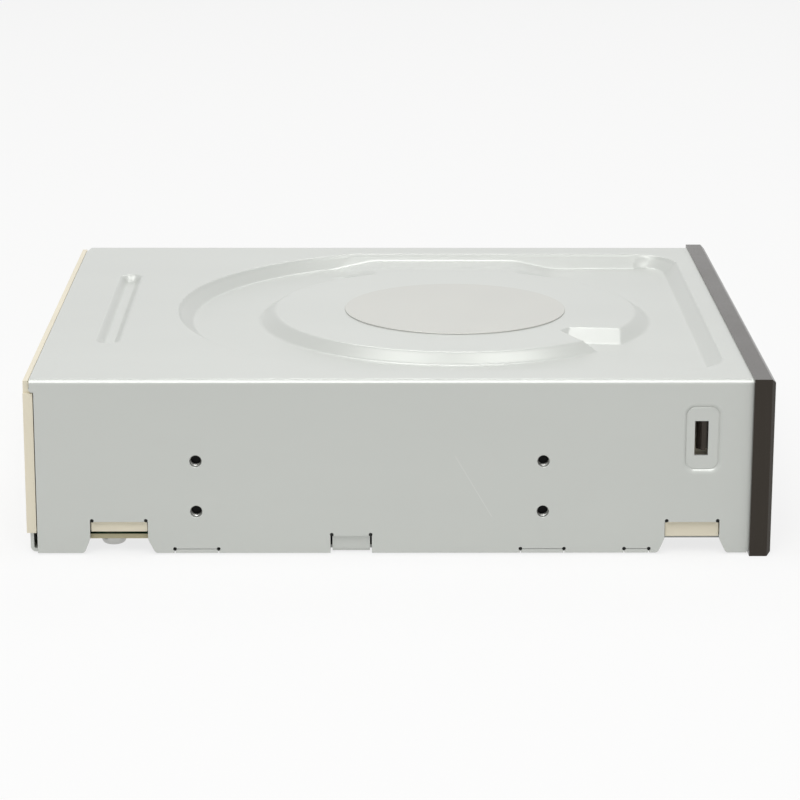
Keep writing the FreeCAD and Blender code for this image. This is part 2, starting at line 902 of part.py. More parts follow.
def main_chassis():
    """Deck of the chassis, with its bosses, axles and bearings, and the skirt behind the bezel."""
    skirt_top = deck_top + 1.2
    parts = [
        box(-chassis_inner, chassis_inner, step_y[1], rear_wall_front, deck_bottom, deck_top),
        box(-front_arm_inner, front_arm_inner, front_wall[0], step_y[1], deck_bottom, deck_top),
        box(-front_arm_inner, front_arm_inner, front_wall[0], front_wall[1], chassis_foot, skirt_top),
    ]

    # ribs that stiffen the deck, and the bosses that hang from it
    into_deck = deck_bottom + 0.5
    rib_x = opening_half_width + 0.4
    rib = box(rib_x, rib_x + rib_width, opening_front + 2, opening_rear + 3, rib_bottom, into_deck)
    parts += both_sides([rib])
    rib_y = opening_rear + 1.8
    half = opening_half_width
    parts.append(box(-half, half, rib_y, rib_y + rib_width, rib_bottom, into_deck))
    for x, y in cover_screw_places:
        parts.append(facet_disc(boss_radius, x, y, sheet + cover_dimple_depth, into_deck, shank_sides))
    for places, foot in ((board_screw_places, board_top), (front_screw_places, front_board_top)):
        for x, y in places:
            boss = facet_disc(small_boss_radius, x, y, foot, into_deck, shank_sides)
            parts.append(boss.common(box(-chassis_inner, chassis_inner, 0, side_length, foot, into_deck)))

    # bearings of the lifting frame
    shoulder = pivot_z + 2.0
    crown = pivot_z + 4.0
    crown_half = 2.6
    bearing = [
        (pivot_y - bearing_half, deck_bottom, 0),
        (pivot_y + bearing_half, deck_bottom, 0),
        (pivot_y + bearing_half, shoulder, 0),
        (pivot_y + crown_half, crown, 0),
        (pivot_y - crown_half, crown, 0),
        (pivot_y - bearing_half, shoulder, 0),
    ]
    parts += both_sides([prism_x(bearing, bearing_inner, bearing_outer)])

    # axles of the loading gears, each on a low shoulder
    for x, top in ((tray_gear_x, tray_bottom - 1.2), (pulley_gear_x, pulley_top + 0.6)):
        parts.append(facet_disc(axle_radius + 1.2, x, tray_gear_y, deck_top - 0.5, deck_top + running_gap))
        parts.append(facet_disc(axle_radius, x, tray_gear_y, deck_top, top, bar_sides))
    body = fuse(parts)

    # openings for the traverse, the slider, the motor and the controls
    floor = -beyond
    above_deck = deck_top + 0.6
    cuts = [box(-opening_half_width, opening_half_width, opening_front, opening_rear, floor, above_deck)]
    slider_end = slider_right + slider_travel + slider_gap
    slot_front = slider_front - slider_gap
    cuts.append(box(slider_left - slider_gap, slider_end, slot_front, opening_front + 0.5, floor, above_deck))
    motor_hole = motor_collar_radius + 0.8
    cuts.append(facet_disc(motor_hole, motor_x, motor_y, deck_bottom - 1, deck_top + 1, bar_sides))
    pivot_bore = pivot_radius + pivot_fit
    reach = bearing_outer + 0.5
    cuts.append(rod_along(pivot_bore, Vector(-reach, pivot_y, pivot_z), Vector(reach, pivot_y, pivot_z)))
    entry = pivot_bore - 0.35
    mouth = box(bearing_inner - 0.5, reach, pivot_y - entry, pivot_y + entry, pivot_z, crown + beyond)
    cuts += both_sides([mouth])
    room = 1.0
    cuts.append(
        box(
            button_x - button_width / 2 - room,
            button_x + button_width / 2 + room,
            front_wall[0] - beyond,
            front_wall[1] + beyond,
            control_z - button_height / 2 - room,
            control_z + button_height / 2 + room,
        )
    )
    for x, radius in ((lamp_x, 2.2), (pinhole_x, 1.4)):
        skirt_front = Vector(x, front_wall[0] - beyond, control_z)
        cuts.append(facet_bar(radius, skirt_front, Vector(x, front_wall[1] + beyond, control_z)))
    vent_y = cover_boss_rear - 2.7
    for x0 in (-46.0, 18.0):
        cuts.append(box(x0, x0 + 28.0, vent_y, vent_y + 7.2, deck_bottom - 1, deck_top + 1))
    return body.cut(cuts).removeSplitter()


def clamper_bridge():
    """Pressed steel bridge over the tray, with the hole that the clamper hangs in."""
    half_length = chassis_inner - 1.2
    y0 = ledge_y[0] + 0.6
    y1 = ledge_y[1] - 0.6
    waist = 21.5
    ring = 15.0
    ring_end = 24.0
    quarter = [(half_length, y1), (ring_end, y1), (ring, disc_y + waist)]
    rear = quarter + [(-x, y) for x, y in reversed(quarter)]
    outline = [(x, y, 0) for x, y in rear]
    outline += [(x, 2 * disc_y - y, 0) for x, y in reversed(rear)]
    body = plate(outline, clamper_plate_bottom, clamper_plate_top)
    low = clamper_plate_bottom - beyond
    high = clamper_plate_top + beyond
    cuts = [facet_disc(clamper_hole, 0, disc_y, low, high, turned_sides)]
    arm_start = ring_end + 4.0
    arm_end = bridge_screw_x - 7.6
    windows = [box(arm_start, arm_end, y, y + 6.0, low, high) for y in (disc_y - 10.5, disc_y + 4.5)]
    hole = shank_radius + 0.25
    windows += [facet_disc(hole, bridge_screw_x, y, low, high) for y in bridge_screw_y]
    body = body.cut(cuts + both_sides(windows))
    rib_top = clamper_plate_top + 1.2
    rib_low = clamper_plate_top - 0.2
    ribs = []
    for y in (y0, y1 - sheet):
        ribs.append(box(ring_end + 2.0, arm_end + 2.0, y, y + sheet, rib_low, rib_top))
    return fuse([body] + both_sides(ribs))


# Front of the drive


def front_bezel():
    half = bezel_width / 2
    low = -bezel_drop
    high = bezel_height - bezel_drop
    front = -bezel_thickness
    body = box(-half, half, front, 0, low, high)
    front_edges = edges_where(
        body,
        lambda edge: abs(edge.BoundBox.YMin - front) < 1e-3 and edge.BoundBox.YLength < 1e-3,
    )
    body = body.makeChamfer(0.9, front_edges)
    window_low = door_bottom - door_gap
    window_high = door_top + door_gap
    window_half = door_width / 2 + door_gap
    hollow = half - bezel_wall
    face_back = front + bezel_face
    pocket = 0.3
    cuts = [
        box(-hollow, hollow, face_back, beyond, low + bezel_wall, window_low - bezel_wall),
        box(-hollow, hollow, face_back, beyond, window_high + bezel_wall, high - bezel_wall),
        box(-window_half, window_half, front - beyond, beyond, window_low, window_high),
        box(
            button_x - button_width / 2 - pocket,
            button_x + button_width / 2 + pocket,
            front - beyond,
            beyond,
            control_z - button_height / 2 - pocket,
            control_z + button_height / 2 + pocket,
        ),
    ]
    body = body.cut(cuts)

    # ribs behind the face
    into_face = face_back - 0.5
    ribs = []
    for x in (-0.75 * half, -0.5 * half, -0.25 * half, 0, lamp_x - 8.0, button_x + 14.0):
        ribs.append(box(x, x + rib_width, into_face, 0, low + 1, window_low - 1))
    for share in (-0.8, -0.4, 0, 0.4, 0.8):
        x = share * half
        ribs.append(box(x, x + rib_width, into_face, 0, window_high + 1, high - 1))

    # spring arms whose hooks snap into the slots of the side walls
    arm_inner = front_arm_inner + chassis_wall + 0.4
    arm_outer = inner_half - emboss_depth - 0.35
    arm_end = hook_slot_y[1] - 0.25
    fit = 0.25
    hook_low = hook_slot_z[0] + fit
    hook_high = hook_slot_z[1] - fit
    arm = box(arm_inner, arm_outer, into_face, arm_end, hook_low, hook_high)
    hook_outer = half_case - emboss_depth + 0.1
    hook_start = hook_slot_y[0] + fit
    hook_profile = [
        (arm_outer - 0.3, hook_start, 0),
        (hook_outer, hook_start, 0),
        (hook_outer, hook_start + 0.9, 0),
        (arm_outer, arm_end, 0),
        (arm_outer - 0.3, arm_end, 0),
    ]
    hook = plate(hook_profile, hook_low, hook_high)
    body = fuse([body] + ribs + both_sides([arm, hook]))
    lamp_start = Vector(lamp_x, front - beyond, control_z)
    pinhole_start = Vector(pinhole_x, front - beyond, control_z)
    bores = [
        facet_bar(1.3, lamp_start, Vector(lamp_x, beyond, control_z)),
        rod_along(pinhole_radius, pinhole_start, Vector(pinhole_x, beyond, control_z)),
    ]
    return body.cut(bores)


def tray_door():
    """Front of the tray: its face bulges towards the upper part."""
    half = door_width / 2
    edge = 0.2 - bezel_thickness
    back = front_wall[0]
    profile = [
        (back, door_bottom, 0),
        (back, door_top, 0),
        (edge, door_top, 0.5),
        (-bezel_thickness - door_bulge, door_top - 6.0, 9.0),
        (edge, door_bottom, 0.5),
    ]
    body = prism_x(profile, -half, half)
    wall = 2.0
    hollow = box(wall - half, half - wall, -2.4, beyond, door_bottom + wall, tray_bottom - 0.6)
    return body.cut(hollow)


def eject_button():
    front = -bezel_thickness - door_bulge
    flange_front = -1.4
    flange_back = -0.6
    half_width = button_width / 2
    half_height = button_height / 2
    cap = box(
        button_x - half_width,
        button_x + half_width,
        front,
        flange_front,
        control_z - half_height,
        control_z + half_height,
    )
    cap = cap.makeChamfer(0.4, edges_where(cap, lambda edge: abs(edge.BoundBox.YMax - front) < 1e-3))
    stem_half = 2.2
    stem_back = switch_y - button_travel - 0.4
    stem = box(button_x - stem_half, button_x + stem_half, -2.0, stem_back, control_z - 1.6, control_z + 1.6)
    guard = box(
        button_x - half_width - button_flange,
        button_x + half_width + button_flange,
        flange_front,
        flange_back,
        control_z - half_height - button_flange / 2,
        control_z + half_height + button_flange / 2,
    )
    return fuse([cap, stem, guard])


def led_lens():
    """Light guide from the lamp to the face of the bezel."""
    tip = facet_bar(1.2, Vector(lamp_x, -bezel_thickness - 0.15, control_z), Vector(lamp_x, 0.2, control_z))
    guide = facet_bar(1.7, Vector(lamp_x, 0.0, control_z), Vector(lamp_x, 5.0, control_z))
    return fuse([tip, guide])


def front_board():
    start, end = front_board_y
    body = box(front_board_left, front_board_right, start, end, front_board_bottom, front_board_top)
    hole = shank_radius + 0.2
    return body.cut([facet_disc(hole, x, y, 0, front_board_top + beyond) for x, y in front_screw_places])


def eject_switch():
    half = 3.6
    start = switch_y + 0.9
    body = box(button_x - half, button_x + half, start, start + 6.0, front_board_top, control_z + 2.2)
    key = facet_bar(1.3, Vector(button_x, switch_y, control_z), Vector(button_x, switch_y + 1.5, control_z))
    return fuse([body, key])


def status_led():
    face = 5.5
    foot = 9.0
    levels = ((0.8, face), (1.45, face + 0.8), (1.45, foot), (1.8, foot), (1.8, foot + 0.8))
    bulb = turned(levels, 0, 0, small_sides)
    bulb.rotate(Vector(0, 0, 0), Vector(1, 0, 0), -90)
    bulb.translate(Vector(lamp_x, 0, control_z))
    legs = []
    for x in (lamp_x - 0.9, lamp_x + 0.5):
        legs.append(box(x, x + 0.4, foot + 0.4, foot + 2.2, control_z - 0.2, control_z + 0.2))
        legs.append(box(x, x + 0.4, foot + 1.8, foot + 2.2, front_board_top, control_z + 0.2))
    return fuse([bulb] + legs)


# Electronics


def main_board():
    outline = rectangle(-board_half_width, board_half_width, board_front, board_rear)
    body = plate(outline, board_bottom, board_top)
    high = board_top + beyond
    cuts = [facet_disc(shank_radius + 0.2, x, y, 0, high) for x, y in board_screw_places]
    side = boss_radius + 0.6
    for x, y in cover_screw_places:
        if y > board_front:
            cuts.append(box(x - side, x + side, y - side, board_rear + beyond, 0, high))
    return body.cut(cuts)


def board_chips():
    """Chip housings, as X, distance behind the board's front edge, width, length and height."""
    chips = []
    for x, back, width, length, height in (
        (-30.0, 22.0, 14.0, 14.0, 1.4),
        (-2.0, 26.0, 11.0, 11.0, 1.2),
        (24.0, 18.0, 8.0, 12.0, 1.1),
        (44.0, 36.0, 10.0, 7.0, 1.6),
    ):
        y = board_front + back
        chips.append(
            box(x - width / 2, x + width / 2, y - length / 2, y + length / 2, board_top, board_top + height)
        )
    return chips


def board_capacitors():
    """Cans on their feet, as X, distance behind the board's front edge, radius and height."""
    rim = 0.4
    cans = []
    for x, back, radius, height in ((30.0, 47.0, 2.5, 5.2), (38.0, 47.0, 2.5, 5.2), (-44.0, 40.0, 2.0, 4.4)):
        y = board_front + back
        top = board_top + height
        can = turned(((radius, board_top), (radius, top - rim), (radius - rim, top)), x, y, small_sides)
        foot = box(x - radius, x + radius, y - radius, y + radius, board_top, board_top + 0.7)
        cans.append(fuse([can, foot]))
    return cans


def ffc_sockets():
    """Flat cable sockets, as X, distance behind the board's front edge and half width."""
    cable_socket = (0.0, ffc_socket_y - board_front, ffc_width / 2 + 1.6)
    half_depth = 1.8
    sockets = []
    for x, back, half in (cable_socket, (48.0, 5.0, 6.5), (-50.0, 5.0, 5.5)):
        y = board_front + back
        body = box(x - half, x + half, y - half_depth, y + half_depth, board_top, board_top + 2.2)
        mouth_half = half - 1.4
        mouth = box(x - mouth_half, x + mouth_half, y - 2.2, y + 0.8, board_top + 0.8, board_top + 1.5)
        sockets.append(body.cut(mouth))
    return sockets


def tongue_box(x0, x1):
    """Place of a plug's tongue: X, Y and Z limits."""
    low = plug_bottom + 2.5
    return x0 + 1.9, x1 - 3.2, plug_rear - 7.0, plug_rear - 1.2, low, low + tongue_height


def sata_plug(x0, x1):
    """Shroud with an L-shaped tongue, the mouth facing the rear."""
    top = plug_bottom + plug_height
    body = box(x0, x1, plug_rear - plug_length, plug_rear, plug_bottom, top)
    wall = 1.1
    cavity_front = plug_rear - 6.0
    cavity = box(x0 + wall, x1 - wall, cavity_front, plug_rear + beyond, plug_bottom + wall, top - wall)
    left, right, front, rear, low, high = tongue_box(x0, x1)
    tongue = box(left, right, front, rear, low, high)
    key = box(right - 1.2, right, front, rear, low, high + 1.1)
    return fuse([body.cut(cavity), tongue, key])


def sata_data_plug():
    return sata_plug(*data_plug_x)


def sata_power_plug():
    return sata_plug(*power_plug_x)


def sata_contacts():
    half = 0.3
    contacts = []
    for (x0, x1), count in ((data_plug_x, 7), (power_plug_x, 13)):
        left, right, front, rear, low, high = tongue_box(x0, x1)
        first = left + 0.7
        pitch = (right - 2.0 - first) / (count - 1)
        for i in range(count):
            x = first + i * pitch
            contacts.append(box(x - half, x + half, front + 1.2, rear - 0.6, high, high + 0.15))
    return contacts


# Loading drive


def loading_motor():
    """Flat-sided motor under the deck."""
    top = deck_bottom
    can = facet_disc(motor_body_radius, motor_x, motor_y, top - motor_length, top, pulley_sides)
    side = motor_body_radius + beyond
    keep = box(motor_x - side, motor_x + side, motor_y - motor_half_depth, motor_y + motor_half_depth, 0, top)
    can = can.common(keep)
    collar = facet_disc(motor_collar_radius, motor_x, motor_y, top - 0.2, top + 1.4, bar_sides)
    shaft = facet_disc(motor_shaft_radius, motor_x, motor_y, top, pulley_top + 0.6, bar_sides)
    return fuse([can, collar, shaft])


def grooved_pulley(x, y, radius, sides):
    """Belt pulley with a vee groove between two rims."""
    middle = (pulley_bottom + pulley_top) / 2
    low = radius - belt_width - 0.3
    floor = belt_width / 2 + 0.1
    levels = (
        (radius, pulley_bottom),
        (radius, pulley_bottom + pulley_rim),
        (low, middle - floor),
        (low, middle + floor),
        (radius, pulley_top - pulley_rim),
        (radius, pulley_top),
    )
    return turned(levels, x, y, sides)


def motor_pulley():
    wheel = grooved_pulley(motor_x, motor_y, motor_pulley_radius, pulley_sides)
    return wheel.cut(disc(motor_shaft_radius + axle_fit, motor_x, motor_y, 0, case_height))


def pulley_gear():
    bore = axle_radius + axle_fit
    wheel = grooved_pulley(pulley_gear_x, tray_gear_y, pulley_radius, turned_sides)
    pinion = tooth_ring(
        gear_module,
        pulley_teeth,
        pulley_gear_x,
        tray_gear_y,
        deck_top + 2 * running_gap,
        pulley_bottom + 0.2,
        phase=math.pi / pulley_teeth,
    )
    hole = disc(bore, pulley_gear_x, tray_gear_y, 0, case_height)
    return fuse([wheel, pinion]).cut(hole)


def tray_gear():
    big = tooth_ring(gear_module, big_teeth, tray_gear_x, tray_gear_y, big_gear_bottom, big_gear_top)
    small = tooth_ring(
        rack_module, tray_teeth, tray_gear_x, tray_gear_y, big_gear_top - 0.2, tray_bottom - 0.9
    )
    hole = disc(axle_radius + axle_fit, tray_gear_x, tray_gear_y, 0, case_height)
    return fuse([big, small]).cut(hole)


def drive_belt():
    """Square belt round both pulleys, in their grooves."""
    groove_level = (pulley_bottom + pulley_top) / 2
    inner_motor = motor_pulley_radius - belt_width - 0.2
    inner_gear = pulley_radius - belt_width - 0.2
    ax, ay = pulley_gear_x, tray_gear_y
    bx, by = motor_x, motor_y
    span = math.hypot(bx - ax, by - ay)
    heading = math.atan2(by - ay, bx - ax)

    def loop(radius_a, radius_b):
        lean = math.acos((radius_a - radius_b) / span)
        corners = []
        for x, y, radius, start, sweep, steps in (
            (ax, ay, radius_a, heading + lean, 2 * (math.pi - lean), 18),
            (bx, by, radius_b, heading - lean, 2 * lean, 8),
        ):
            for i in range(steps + 1):
                angle = start + sweep * i / steps
                corners.append(Vector(x + radius * math.cos(angle), y + radius * math.sin(angle), 0))
        return Part.makePolygon(corners + corners[:1])

    outer = Part.Face(loop(inner_gear + belt_width, inner_motor + belt_width))
    inner = Part.Face(loop(inner_gear, inner_motor))
    ring = outer.cut(inner)
    ring.translate(Vector(0, 0, groove_level - belt_width / 2))
    return ring.extrude(Vector(0, 0, belt_width))


def cam_slot(x):
    """Diagonal slot that lowers a lift pin by pin_drop over the slider's travel."""
    half = lift_pin_radius + lift_pin_gap
    start = Vector(x, 0, pivot_z)
    finish = Vector(x - slider_travel, 0, pivot_z - pin_drop)
    along = finish - start
    along.normalize()
    along = along * half
    across = Vector(along.z, 0, -along.x)
    first = start - along
    last = finish + along
    corners = [first + across, last + across, last - across, first - across, first + across]
    return Part.Face(Part.makePolygon(corners)).extrude(Vector(0, slider_back + beyond, 0))


def cam_slider():
    """Plate that slides across and lowers the traverse by two diagonal slots."""
    body = box(slider_left, slider_right, slider_front, slider_back, slider_bottom, slider_top)
    leg = 3.0
    low_end = -lift_pin_x - slider_travel - 5.0
    front = slider_front - beyond
    back = slider_back + beyond
    dimple_top = sheet + cover_dimple_depth + dimple_clearance
    cuts = [
        box(slider_left + leg, low_end, front, back, dimple_top + 1.0, deck_bottom - 1.0),
        box(slider_left - beyond, low_end - leg, front, back, 0, dimple_top),
        cam_slot(-lift_pin_x),
        cam_slot(lift_pin_x),
    ]
    body = body.cut(cuts)

    # rack on the front, level with the big gear and just clear of its tips
    tips = tray_gear_y + gear_module * (big_teeth / 2 + 0.95) + tip_gap
    shallow = (slider_front - tips) / (2.1 * gear_module)
    start = slider_left + 0.5
    back_line = slider_front + 0.5
    points = [(start, back_line, 0), (start, slider_front, 0)]
    for along, height in rack_teeth(gear_module, 7, start + 0.5):
        points.append((along, slider_front - height * shallow, 0))
    end = points[-1][0] + 0.4
    points += [(end, slider_front, 0), (end, back_line, 0)]
    return fuse([body, plate(points, big_gear_bottom, big_gear_top)])


# Disc tray


def tray_rack():
    """Rack that the tray gear drives, under the left side, with the wall that carries it."""
    root = rack_line - 1.2 * rack_module
    back = root - 3.2
    start = tray_gear_y - 2 * math.pi * rack_module
    teeth = int((tray_rear - 2 - start) / (math.pi * rack_module))
    points = [(back, start - 1, 0), (root, start - 1, 0)]
    for along, height in rack_teeth(rack_module, teeth, start):
        points.append((root + height, along, 0))
    end = points[-1][1] + 0.8
    points += [(root, end, 0), (back, end, 0)]
    teeth_strip = plate(points, tray_bottom - 3.0, tray_bottom + 1.2)
    wall = box(back, back + 2.2, start - 1, end, tray_bottom - 0.5, tray_top - tray_rim + 0.2)
    return [teeth_strip, wall]


def disc_lug(degrees):
    """Lug over the recess that holds a disc when the drive stands on its side."""
    angle = math.radians(degrees)
    reach = disc_recess + 0.6
    lug = box(-2.2, 2.0, -3.2, 3.2, tray_top - 0.9, tray_top)
    lug.rotate(Vector(0, 0, 0), Vector(0, 0, 1), degrees)
    lug.translate(Vector(reach * math.cos(angle), disc_y + reach * math.sin(angle), 0))
    return lug


def disc_tray():
    rim_low = tray_top - tray_rim
    into_rim = rim_low + 0.2
    corner = 3.0
    outline = chamfered(-tray_half_width, tray_half_width, tray_front, tray_rear, corner)
    body = plate(outline, rim_low, tray_top)
    dish = facet_disc(disc_recess + 2.2, 0, disc_y, tray_bottom + 0.6, into_rim, tray_sides)
    rib = 1.6
    inner_rail = tray_half_width - 2.6
    lip = tray_half_width - 5.5
    rear_rib = tray_rear - 1.0
    sides = [
        box(inner_rail, tray_half_width, tray_front + corner, tray_rear - corner, tray_bottom, into_rim),
        box(tray_slot, tray_slot + rib, disc_y, rear_rib, tray_bottom, into_rim),
    ]
    parts = [
        body,
        dish,
        box(-lip, lip, tray_front, tray_front + rib, tray_bottom, into_rim),
        box(1 - tray_half_width, tray_half_width - 1, rear_rib - rib, rear_rib, tray_bottom, into_rim),
    ]
    body = fuse(parts + both_sides(sides))

    # recesses for both disc sizes, the slot over the traverse, finger hollows and rear windows
    above = tray_top + beyond
    below = tray_bottom - beyond
    cuts = [
        facet_disc(disc_recess, 0, disc_y, recess_floor, above, tray_sides),
        facet_disc(small_disc_recess, 0, disc_y, recess_floor - 0.8, above, tray_sides),
        facet_disc(tray_slot, 0, disc_y, below, above, tray_sides),
        box(-tray_slot, tray_slot, disc_y, tray_rear + beyond, below, above),
    ]
    hollow = chamfered(lip - 16.0, lip, tray_front + 5, tray_front + 17, corner)
    window = chamfered(tray_slot + 8, tray_slot + 24, tray_rear - 18, tray_rear - 8, corner)
    cuts += both_sides([plate(hollow, recess_floor, above), plate(window, below, above)])
    body = body.cut(cuts)
    lugs = [disc_lug(degrees) for degrees in (38, 142, 218, 322)]
    return fuse([body] + tray_rack() + lugs)


# Traverse


def lift_frame():
    outline = chamfered(-frame_half_width, frame_half_width, frame_front, frame_rear, 2.0)
    body = plate(outline, frame_bottom, frame_top)
    inner_half_width = frame_half_width - frame_side
    inner = chamfered(-inner_half_width, inner_half_width, frame_front + 4.2, frame_rear - 9.0, 3.0)
    body = body.cut(plate(inner, 0, case_height))
    pad = damper_radius + 1.4
    pads = [box(x - pad, x + pad, y - pad, y + pad, frame_bottom, frame_top) for x, y in damper_places()]
    pins = []
    for side in (-1, 1):
        start = Vector(side * (frame_half_width - 1), pivot_y, pivot_z)
        finish = Vector(side * (bearing_outer - 0.4), pivot_y, pivot_z)
        pins.append(rod_along(pivot_radius, start, finish))
        x = side * lift_pin_x
        tip = Vector(x, slider_front + 0.3, pivot_z)
        pins.append(facet_bar(lift_pin_radius, tip, Vector(x, frame_front + 1, pivot_z), bar_sides))
    trimmed = box(-frame_half_width, frame_half_width, frame_front, frame_rear, 0, case_height)
    pads = [pad.common(trimmed) for pad in pads]
    return fuse([body] + pads + pins)


def damper_places():
    return [(side * damper_x, y) for side in (-1, 1) for y in damper_y]


def damper_rubbers():
    hole = shank_radius + 0.15
    rings = []
    for x, y in damper_places():
        rings.append(facet_ring(damper_radius, hole, x, y, frame_top, base_bottom, shank_sides))
    return rings


def damper_screws():
    height = 1.6
    length = base_top - frame_bottom - 1.0
    return [screw_down(x, y, base_top + height, height, length, 2.6) for x, y in damper_places()]


def traverse_base():
    """Stamped steel plate that carries the spindle motor, the rods and the sled motor."""
    outline = chamfered(-base_half_width, base_half_width, base_front, base_rear, 6.0)
    body = plate(outline, base_bottom, base_top)
    lugs = [facet_disc(3.9, x, y, base_bottom, base_top) for x, y in damper_places()]
    body = fuse([body] + lugs)
    cuts = [box(window_left, window_right, window_front, window_rear, 0, case_height)]
    side = sled_motor_radius + 0.6
    cuts.append(
        box(screw_x - side, screw_x + side, sled_motor_front - 0.6, window_front + 0.5, 0, case_height)
    )
    cuts.append(disc(6.6, 0, disc_y, 0, case_height))
    cuts += [facet_disc(shank_radius + 0.15, x, y, 0, case_height) for x, y in damper_places()]
    right = base_half_width - 11.0
    window = chamfered(right - 14.0, right, base_front + 7.0, base_front + 25.0, 3.0)
    cuts.append(plate(window, 0, case_height))
    body = body.cut(cuts)
    flange_start = window_front + 6.0
    flange_end = window_rear - 4.0
    ribs = [
        box(window_right, window_right + rib_width, flange_start, flange_end, base_top - 0.2, base_top + 2.6),
        box(-12, 24, base_front, base_front + rib_width, base_bottom - 2.0, base_bottom + 0.2),
    ]
    return fuse([body] + ribs)


def spindle_motor():
    """Fixed half of the spindle motor: mounting plate, stator and bearing."""
    outline = chamfered(-17.0, 17.0, disc_y - 14.0, disc_y + 11.5, 3.0)
    plate_body = plate(outline, base_bottom - 1.0, base_bottom)
    levels = (
        (6.2, base_bottom - 5.5),
        (6.2, base_top + 0.2),
        (10.6, base_top + 0.2),
        (10.6, base_top + 3.6),
        (2.6, base_top + 3.6),
        (2.6, base_top + 5.0),
    )
    bore = facet_disc(spindle_radius + axle_fit, 0, disc_y, base_bottom - 4.5, case_height, bar_sides)
    return fuse([plate_body, turned(levels, 0, disc_y)]).cut(bore)


def turntable():
    """Rotor can, shaft, platform and centring hub, turned about the spindle axis."""
    can_low = base_top + 0.7
    can_top = base_top + 6.2
    pad_seat = disc_plane - 0.5
    levels = (
        (rotor_radius, can_low),
        (rotor_radius, can_top),
        (9.0, can_top),
        (9.0, can_top + 0.8),
        (turntable_radius, can_top + 0.8),
        (turntable_radius, pad_seat),
        (hub_radius, pad_seat),
        (hub_radius, disc_plane + 0.9),
        (hub_radius - 1.4, hub_top),
    )
    body = turned(levels, 0, disc_y)
    body = body.cut(facet_disc(rotor_radius - 0.8, 0, disc_y, can_low - 1, can_top - 0.8, turned_sides))
    spindle = disc(spindle_radius, 0, disc_y, base_bottom - 4.2, can_top - 0.5)
    notches = []
    for turn in range(3):
        notch = box(hub_radius - 1.0, hub_radius + 0.6, -0.9, 0.9, disc_plane + 0.2, hub_top + 1)
        notch.rotate(Vector(0, 0, 0), Vector(0, 0, 1), 120 * turn + 20)
        notch.translate(Vector(0, disc_y, 0))
        notches.append(notch)
    return fuse([body, spindle]).cut(notches)


def turntable_pad():
    outer = turntable_radius - 0.4
    return facet_ring(outer, turntable_radius - 4.6, 0, disc_y, disc_plane - 0.5, disc_plane)


def clamper():
    """Loose puck that presses the disc on the hub, in the hole of its bridge."""
    flange_low = clamper_plate_top + 0.3
    levels = (
        (clamper_neck, clamper_bottom),
        (clamper_neck, flange_low),
        (clamper_flange, flange_low),
        (clamper_flange, flange_low + 0.7),
        (yoke_radius + 0.4, clamper_top),
    )
    body = turned(levels, 0, disc_y)
    return body.cut(disc(hub_radius + 0.5, 0, disc_y, clamper_bottom - 1, clamper_bottom + 1.1))


def clamper_yoke():
    edge = 0.4
    rim = clamper_top + 0.8
    levels = ((yoke_radius, clamper_top), (yoke_radius, rim), (yoke_radius - edge, rim + edge))
    return turned(levels, 0, disc_y)


def guide_rod(x):
    return facet_bar(rod_radius, Vector(x, rod_front, rod_z), Vector(x, rod_rear, rod_z), pulley_sides)


def main_guide_rod():
    return guide_rod(main_rod_x)


def sub_guide_rod():
    return guide_rod(sub_rod_x)


def rod_holders():
    holders = []
    half = rod_radius + 1.3
    for x in (main_rod_x, sub_rod_x):
        for y0, y1 in ((rod_front - 0.8, window_front - 0.3), (window_rear + 0.3, rod_rear + 0.8)):
            block = box(x - half, x + half, y0, y1, rod_z - half, base_bottom)
            under = rod_z - half - 1
            seat = box(x - rod_radius, x + rod_radius, rod_front, rod_rear, under, rod_z + rod_radius)
            holders.append(block.cut(seat))
    return holders


def sled_motor():
    middle = Vector(screw_x, 0, rod_z)
    can_end = middle + Vector(0, sled_motor_rear, 0)
    can = facet_bar(sled_motor_radius, middle + Vector(0, sled_motor_front, 0), can_end, pulley_sides)
    snout_start = middle + Vector(0, sled_motor_rear - 0.5, 0)
    snout = facet_bar(2.4, snout_start, middle + Vector(0, sled_motor_rear + 1.2, 0))
    bore_start = middle + Vector(0, sled_motor_rear - 4, 0)
    bore_end = middle + Vector(0, sled_motor_rear + 2, 0)
    bore = facet_bar(journal_radius + axle_fit, bore_start, bore_end)
    side = 5.4
    back = sled_motor_rear + 1.2
    bracket = box(screw_x - side, screw_x + side, back - 1.0, back, rod_z - 3.4, base_bottom)
    foot_left = screw_x + side - 0.2
    foot = box(foot_left, foot_left + 4.4, back - 5.2, back, base_bottom - 1.0, base_bottom)
    return fuse([can, snout, bracket, foot]).cut(bore)


def lead_screw():
    start = sled_motor_rear + 1.8
    finish = window_rear + 2.6
    shaft = rod_along(screw_radius, Vector(screw_x, start, rod_z), Vector(screw_x, finish, rod_z))
    journal_start = Vector(screw_x, sled_motor_rear - 3.5, rod_z)
    journal = facet_bar(journal_radius, journal_start, Vector(screw_x, start + 0.5, rod_z))
    return fuse([shaft, journal])


def screw_bearing():
    """Bearing block of the lead screw, under the rear strip of the base."""
    half = screw_radius + 1.4
    low = rod_z - half
    start = window_rear + 0.4
    block = box(screw_x - half, screw_x + half, start, start + 4.0, low, base_bottom)
    bore = screw_radius + axle_fit
    return block.cut(box(screw_x - bore, screw_x + bore, start - 1, start + 2.8, low - 1, rod_z + bore))


